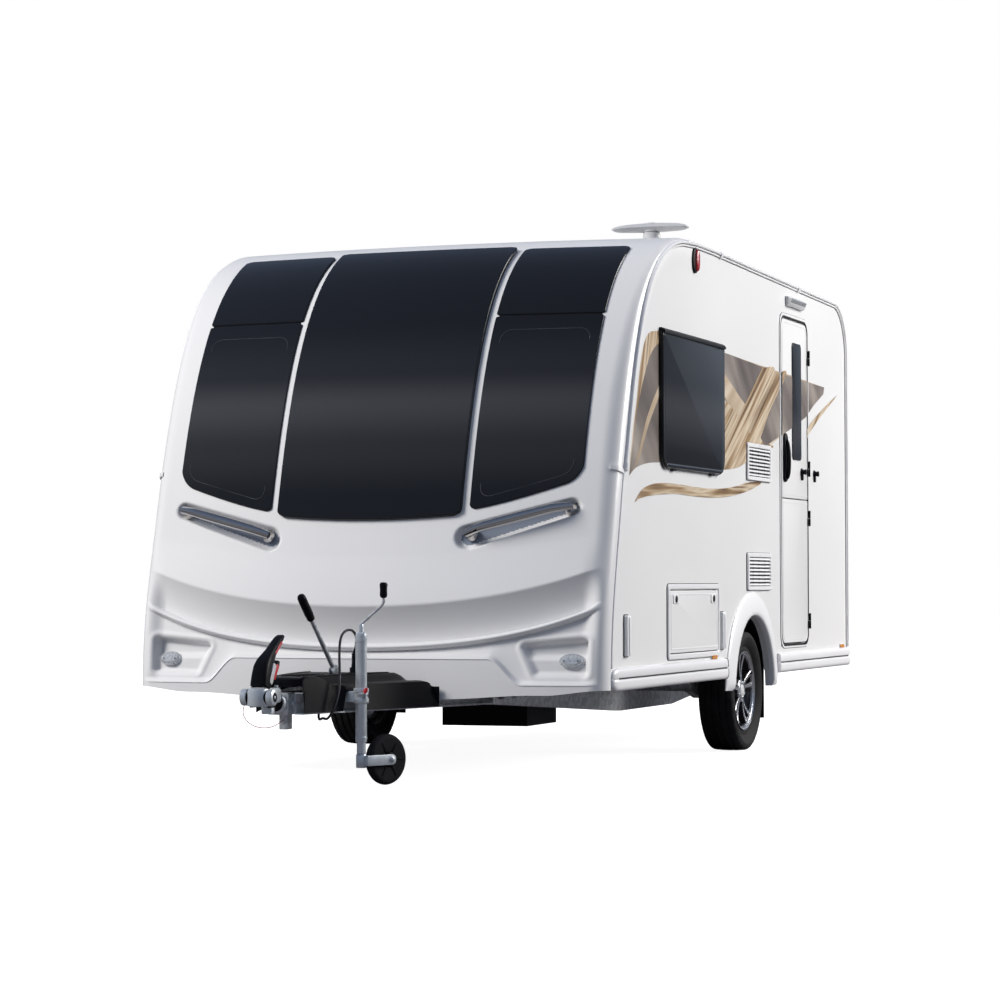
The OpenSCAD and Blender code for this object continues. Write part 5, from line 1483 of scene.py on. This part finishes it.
def handbrake():
    """The handbrake lever with its ribbed grip."""
    lever, grip = Shape(), Shape()
    lean = radians(48)
    d = Vector((0, -sin(lean), cos(lean)))
    p = Vector((0.05, st(-0.56), 0.48))
    lever.tube([p + d * t for t in (-0.004, 0.02, 0.335)], [0.012, 0.0098, 0.0098], galvanised, 24)
    lever.lathe([(0.024, -0.008), (0.024, 0.008)], turned(0.05, -0.56, 0.48, "x"), galvanised, 32)
    for e in (-0.011, 0.011):
        lever.plate(st(-0.592), st(-0.528), COVER_TOP - 0.001, 0.492, 0.01,
                    lambda a, b, h, e=e: (0.05 + e + h, a, b), -0.002, 0.002, galvanised, 0.0005)
    grip.tube([p + d * t for t in (0.328, 0.332, 0.345, 0.36, 0.44, 0.462, 0.474, 0.48)],
              [0.012, 0.0165, 0.0175, 0.0168, 0.0182, 0.0185, 0.015, 0.008], black, 28)
    for t in np.linspace(0.362, 0.448, 9):
        grip.tube([p + d * (t + e) for e in (-0.0022, 0, 0.0022)], [0.0172, 0.019, 0.0172], black,
                  28)
    lever.done("handbrake_bar", replaces=["handbrake_lever"], slot="galvanised_steel")
    grip.done("handbrake_grip")


def plug_and_cords():
    """Towing plug on its holder, its lead and the thin breakaway cable."""
    plug = Shape()
    at = turned(0.12, -0.48, COVER_TOP + 0.028)
    profile = [(0.0215, 0.0), (0.0222, 0.004), (0.0222, 0.012)]
    for k in range(6):
        profile += [(0.0222, 0.014 + 0.007 * k), (0.0205, 0.0158 + 0.007 * k),
                    (0.0205, 0.0182 + 0.007 * k)]
    profile += [(0.0215, 0.058), (0.019, 0.062), (0.0165, 0.066), (0.0125, 0.077),
                (0.0095, 0.0845), (0.0085, 0.088)]
    plug.lathe(profile, at, black, 32)
    plug.block((0.112, st(-0.5035), COVER_TOP + 0.034), (0.128, st(-0.498), COVER_TOP + 0.06),
               black, 0.002)
    plug.done("plug_body", replaces=["towing_plug"])
    top = COVER_TOP + 0.028 + 0.0883
    tail = Shape()
    tail.lathe([(0.0088, -0.002), (0.0086, 0.006), (0.0076, 0.012), (0.008, 0.014), (0.007, 0.02),
                (0.006, 0.0255)], turned(0.12, -0.48, top), black, 24)
    tail.done("lead_relief")
    route = [(0.12, -0.48, top), (0.12, -0.48, top + 0.026), (0.119, -0.492, top + 0.054),
             (0.117, -0.53, top + 0.072), (0.116, -0.59, top + 0.07), (0.124, -0.655, top + 0.048),
             (0.142, -0.716, top + 0.01), (0.166, -0.776, top - 0.05),
             (0.188, -0.824, top - 0.118), (0.194, -0.856, top - 0.19), (0.184, -0.88, top - 0.25),
             (0.162, -0.89, top - 0.288), (0.136, -0.882, 0.29), (0.112, -0.856, 0.284),
             (0.092, -0.822, 0.288), (0.08, -0.796, 0.302), (0.074, -0.784, 0.318),
             (0.066, -0.778, 0.328), (0.0486, -0.778, 0.328)]
    cable_route = [(-0.06, -1.233, 0.3536), (-0.062, -1.239, 0.336), (-0.062, -1.233, 0.312),
                   (-0.056, -1.211, 0.289), (-0.045, -1.175, 0.27), (-0.031, -1.131, 0.26),
                   (-0.017, -1.085, 0.259), (-0.007, -1.041, 0.266), (-0.001, -1.005, 0.278),
                   (0.0, -0.9855, 0.284)]
    for name, points, radius, mat, node, stiff in (("lead_sheath", route, 0.0055, sheath,
                                                    "towing_lead", "medium"),
                                                   ("cable_wire", cable_route, 0.0016, red_wire,
                                                    "breakaway_cable", "stiff")):
        line = [(x, st(s), z) for x, s, z in smooth(points, 6)]
        part = Shape()
        part.tube(line, radius, mat, 14)
        obj = part.done(name, replaces=[node])
        length = sum(dist(a, b) for a, b in zip(line, line[1:]))
        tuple(line[0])


# ---------------------------------------------------------------- jockey wheel
FORK = radians(65)
TRAIL = 0.14
JOCKEY_AXLE_Z = 0.108


def jockey_parts():
    """The jockey wheel's tube, crank, clamp, slider, fork and wheel."""
    x, s = JOCKEY
    axis = turned(x, s, 0)
    tube, crank, knob = Shape(), Shape(), Shape()
    tube.lathe([(0.02, 0.185), (0.0236, 0.186), (0.024, 0.19), (0.024, 0.604), (0.0262, 0.606),
                (0.0262, 0.618), (0.024, 0.62), (0.024, 0.632), (0.0225, 0.64), (0.012, 0.646),
                (0.0105, 0.664), (0.01, 0.676), (0.0075, 0.681), (0.0005, 0.682)], axis, zinc, 48)
    tube.lathe([(0.0243, 0.196), (0.0252, 0.199), (0.0252, 0.206), (0.0243, 0.209)], axis, zinc,
               48)
    top = Vector((x, st(s), 0.68))
    lean = radians(50)
    elbow = top + Vector((0.13 * sin(lean), 0, 0.13 * cos(lean)))
    path = [top + Vector((0, 0, -0.01)), top, top + (elbow - top) * 0.1, top + (elbow - top) * 0.5,
            top + (elbow - top) * 0.9, elbow + Vector((0.002, 0, 0.008)),
            elbow + Vector((0.002, 0, 0.035))]
    crank.tube(smooth([tuple(p) for p in path], 5), 0.0062, galvanised, 16)
    hub = turned(x + 0.13 * sin(lean) + 0.002, s, 0.68 + 0.13 * cos(lean))
    knob.lathe([(0.009, 0.026), (0.0135, 0.03), (0.016, 0.038), (0.015, 0.06), (0.0165, 0.076),
                (0.0165, 0.084), (0.013, 0.0905), (0.0005, 0.092)], hub, black, 28)
    tube.done("jockey_outer", replaces=["jockey_tube"])
    crank.done("jockey_crank")
    knob.done("jockey_knob")

    clamp, red_knob = Shape(), Shape()
    for h0, h1 in ((-0.032, -0.01), (0.01, 0.032)):
        clamp.lathe([(0.0244, h0), (0.03, h0), (0.032, h0 + 0.003), (0.032, h1 - 0.003),
                     (0.03, h1), (0.0244, h1)], turned(x, s, CLAMP_Z), zinc, 48,
                    caps=(False, False), wrap=True)
    clamp.lathe([(0.0244, -0.012), (0.029, -0.012), (0.029, 0.012), (0.0244, 0.012)],
                turned(x, s, CLAMP_Z), zinc, 48, wrap=True)
    clamp.block((0.176, st(s - 0.02), CLAMP_Z - 0.026), (0.226, st(s + 0.02), CLAMP_Z + 0.019),
                zinc, 0.004)
    clamp.block((x + 0.024, st(s - 0.03), CLAMP_Z - 0.016),
                (x + 0.036, st(s - 0.004), CLAMP_Z + 0.016), zinc, 0.003)
    bolt = turned(x + 0.034, s - 0.016, CLAMP_Z, "x")
    clamp.lathe([(0.007, -0.012), (0.007, 0.0), (0.006, 0.002)], bolt, zinc, 20)
    clamp.tube([(x - 0.002, st(s - 0.03), CLAMP_Z + 0.004),
                (x + 0.008, st(s - 0.0345), CLAMP_Z + 0.006),
                (x + 0.034, st(s - 0.035), CLAMP_Z + 0.012)], [0.0055, 0.0055, 0.005], zinc, 14)
    red_knob.tube([(x + 0.03, st(s - 0.034), CLAMP_Z + 0.01),
                   (x + 0.036, st(s - 0.034), CLAMP_Z + 0.024),
                   (x + 0.038, st(s - 0.033), CLAMP_Z + 0.034)], [0.006, 0.0085, 0.006], red_grip,
                  18)
    clamp.done("clamp_body", replaces=["jockey_clamp"])
    red_knob.done("clamp_knob", slot="red_cable")

    inner_tube = Shape()
    inner_tube.lathe([(0.017, 0.1362), (0.019, 0.138), (0.019, 0.443), (0.017, 0.445)], axis, zinc,
                     40)
    inner_tube.done("jockey_inner", body="jockey_slider", replaces=["jockey_slider"])

    c, n = cos(FORK), sin(FORK)

    def at(a, b, h):
        """Fork axes: a along the trail, b across the wheel, h up."""
        return (x + a * c - b * n, st(s) + a * n + b * c, h)

    def hub_at(a, b, h):
        return at(TRAIL + a, h, JOCKEY_AXLE_Z + b)

    fork, wheel_part = Shape(), Shape()
    fork.lathe([(0.02, 0.078), (0.022, 0.081), (0.022, 0.132), (0.02, 0.1352)], axis, zinc, 40)
    plate = rounded(0.0, TRAIL + 0.022, 0.086, 0.13, 0.02)
    fork.slab(plate, lambda a, b, h: at(a, h, b), -0.0352, -0.041, zinc, 0.0012)
    fork.plate(0.0, 0.024, 0.086, 0.13, 0.004, lambda a, b, h: at(a, h, b), 0.0, -0.0405, zinc,
               0.002)
    fork.lathe([(0.0078, -0.04), (0.0078, 0.033)], hub_at, zinc, 24)
    fork.lathe([(0.013, -0.041), (0.013, -0.044), (0.011, -0.045)], hub_at, zinc, 24)
    fork.lathe([(0.0095, -0.044), (0.0095, -0.05), (0.008, -0.051)], hub_at, galvanised, 6)
    fork.done("fork_plate", body="jockey_fork", replaces=["jockey_fork"])
    tyre = [(0.034, -0.02), (0.06, -0.0215), (0.084, -0.022)]
    tyre += [(0.086 + 0.022 * sin(q), -0.022 * cos(q)) for q in np.linspace(0.12, pi - 0.12, 16)]
    tyre += [(0.084, 0.022), (0.06, 0.0215), (0.034, 0.02)]

    wheel_part.lathe(tyre, hub_at, tread, 72, wrap=True)
    wheel_part.lathe([(0.0083, -0.029), (0.025, -0.029), (0.029, -0.026), (0.034, -0.017),
                      (0.034, 0.017), (0.029, 0.026), (0.025, 0.029), (0.0083, 0.029)], hub_at,
                     black, 48, wrap=True)
    for k in range(6):
        t = radians(60 * k)
        for w in (-1, 1):
            wheel_part.plate(0.034, 0.08, -0.0035, 0.0035, 0.002,
                             lambda a, b, h, t=t, w=w: hub_at(a * cos(t) - b * sin(t),
                                                              a * sin(t) + b * cos(t), w * h),
                             0.018, 0.024, black, 0.001)
    wheel_part.done("jockey_tyre", body="jockey_wheel", replaces=["jockey_wheel"],
                    slot="black_rubber")


# ---------------------------------------------------------------- frame pieces kept
# Pieces shown with their CAD mesh, and the material of each.
KEPT = {"floor_panel": inner, "side_wall_near": white, "side_wall_off": white,
        "roof_panel": roof_sheet, "rear_panel": white, "wheel_boxes": black, "mudflaps": gasket,
        "chassis_rails": rail_zinc, "cross_members": rail_zinc, "drawbar_arms": rail_zinc,
        "axle_beam": galvanised, "steady_brackets": zinc, "underfloor_box": black,
        "steady_front_near": zinc, "steady_front_off": zinc, "steady_rear_near": zinc,
        "steady_rear_off": zinc, "locker_liner": inner, "service_liner": inner,
        "side_window_near": glass, "side_windows_off": glass}


def dress_frame():
    """Gives the kept CAD pieces their materials."""
    for name, mat in KEPT.items():
        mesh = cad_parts[name].data
        mesh.materials.clear()
        mesh.materials.append(mat)


def chassis_details():
    """Bolts under the floor, and edges of the mudflaps."""
    part, flap = Shape(), Shape()
    for sign in (1, -1):
        for places, z, r, top in (((0.27, 0.33, 0.39, 0.45), 0.42, 0.011, 0.01),
                                  ((1.98, 2.06, 2.28, 2.36), 0.4, 0.013, 0.012)):
            for s in places:
                part.bolt(r, 0.0, top, turned(sign * 0.564, s, z, "x", facing=sign))
    low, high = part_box("mudflaps")
    for sign in (1, -1):
        x0, x1 = high.x - 0.17, high.x
        y1 = high.y
        for x in (x0 + 0.012, x1 - 0.012):
            flap.block((sign * x - 0.004, y1, low.z + 0.006),
                       (sign * x + 0.004, y1 + 0.004, high.z - 0.02), gasket, 0.001)
        flap.block((min(sign * x0, sign * x1) + 0.006, y1, low.z + 0.004),
                   (max(sign * x0, sign * x1) - 0.006, y1 + 0.005, low.z + 0.018), gasket, 0.001)
    part.done("chassis_bolts")
    flap.done("mudflap_ribs")


# ---------------------------------------------------------------- surroundings
# Sky colours by direction, straight down 0 to straight up 1; the ramp's two ends come first.
SKY = ((0.0, (0.2, 0.24, 0.32)), (1.0, (0.34, 0.45, 0.7)), (0.49, (0.2, 0.24, 0.33)),
       (0.56, (0.72, 0.83, 1.0)), (0.8, (0.5, 0.66, 1.0)))
SKY_POWER, FLOOR_GLOW, FLOOR_REACH = 0.32, 1.88, 60


def surroundings():
    """White ground and backdrop for the camera, a dim sky for all other rays, and the lamps."""
    world = bpy.data.worlds.new("surroundings")
    bpy.context.scene.world = world
    world.use_nodes = True
    tree = world.node_tree
    tree.nodes.clear()
    out = node(tree, "OutputWorld")
    sky = node(tree, "Background", Strength=SKY_POWER)
    plain = node(tree, "Background", Color=(1, 1, 1, 1))
    mix, ray = node(tree, "MixShader"), node(tree, "LightPath")
    place, split = node(tree, "TexCoord"), node(tree, "SeparateXYZ")
    tone, half = node(tree, "ValToRGB"), node(tree, "Math")
    stops = tone.color_ramp.elements
    for k, (at, color) in enumerate(SKY):
        stop = stops[k] if k < 2 else stops.new(at)
        stop.position = at
        stop.color = color + (1,)
    half.operation = "MULTIPLY_ADD"
    half.inputs[1].default_value = half.inputs[2].default_value = 0.5
    wire(tree, (place, "Generated", split, "Vector"), (split, "Z", half, 0),
         (half, "Value", tone, "Fac"), (tone, "Color", sky, "Color"),
         (ray, "Is Camera Ray", mix, "Fac"), (sky, "Background", mix, 1),
         (plain, "Background", mix, 2), (mix, "Shader", out, "Surface"))

    floor = bpy.data.materials.new("floor")
    floor.use_nodes = True
    tree = floor.node_tree
    shader, out = tree.nodes["Principled BSDF"], tree.nodes["Material Output"]
    shader.inputs["Base Color"].default_value = (0.84, 0.84, 0.84, 1)
    shader.inputs["Roughness"].default_value = 0.9
    dim = node(tree, "BsdfDiffuse", Color=(0.15, 0.15, 0.16, 1))
    glow = node(tree, "Emission", Strength=FLOOR_GLOW)
    pale, mix = node(tree, "MixShader", Fac=0.5), node(tree, "MixShader")
    ray = node(tree, "LightPath")
    wire(tree, (shader, "BSDF", pale, 1), (glow, "Emission", pale, 2),
         (ray, "Is Camera Ray", mix, "Fac"), (dim, "BSDF", mix, 1), (pale, "Shader", mix, 2),
         (mix, "Shader", out, "Surface"))
    mesh = bpy.data.meshes.new("floor")
    corners = [(x * FLOOR_REACH, y * FLOOR_REACH, 0)
               for x, y in ((-1, -1), (1, -1), (1, 1), (-1, 1))]
    mesh.from_pydata(corners, [], [(0, 1, 2, 3)])
    mesh.materials.append(floor)
    obj = bpy.data.objects.new("floor", mesh)
    bpy.context.scene.collection.objects.link(obj)

    def lamp(name, place, aim, size, power, color, mirrored=True):
        data = bpy.data.lights.new(name, "AREA")
        data.size = size
        data.energy = power
        data.color = color
        obj = bpy.data.objects.new(name, data)
        obj.visible_glossy = mirrored
        obj.location = place
        obj.rotation_euler = (Vector(aim) - Vector(place)).to_track_quat("-Z", "Y").to_euler()
        bpy.context.scene.collection.objects.link(obj)

    lamp("side_light", (12.5, 8.0, 8.0), (0.5, 0.5, 1.2), 9.0, 3500, (1.0, 0.965, 0.92))
    lamp("front_light", (-11.0, -10.5, 11.0), (0.0, -1.5, 1.0), 7.0, 3500, (1.0, 0.965, 0.92),
         False)
    lamp("back_light", (0.5, 14.0, 6.0), (0.0, 2.0, 1.2), 9.0, 600, (1.0, 0.98, 0.96), False)
    bpy.context.scene.view_settings.view_transform = "Standard"


# ---------------------------------------------------------------- put together
plug_and_cords()
front_skin()
front_glazing()
front_details()
for way in (1, -1):
    rail_part(way)
    skirt_part(way)
    spat_part(way)
    wheel(way, f"wheel_{hand(way)}", f"tyre_{hand(way)}", f"rim_{hand(way)}")
hung_window(0.71, 1.76, 1.375, 2.015, near, "near", ["side_window_near"])
hung_window(0.71, 1.76, 1.375, 2.015, off, "off_front", ["side_windows_off"])
hung_window(2.33, 2.95, 1.435, 1.935, off, "off_middle")
hung_window(3.56, 4.02, 1.595, 1.935, off, "off_rear")
near_side_fittings()
service_fittings()
lamps()
rear_parts()
door_parts()
hatch("locker", "locker_door", near, 0.85, 1.67, 0.525, 0.815, ["locker_liner", "locker_door"],
      True)
hatch("service", "service_door", off, 3.45, 3.81, 0.573, 0.903, ["service_liner", "service_door"],
      False)
films()
roof_parts()
coupling()
stabiliser()
bellows_and_housing()
cover()
handbrake()
jockey_parts()
chassis_details()
dress_frame()
surroundings()
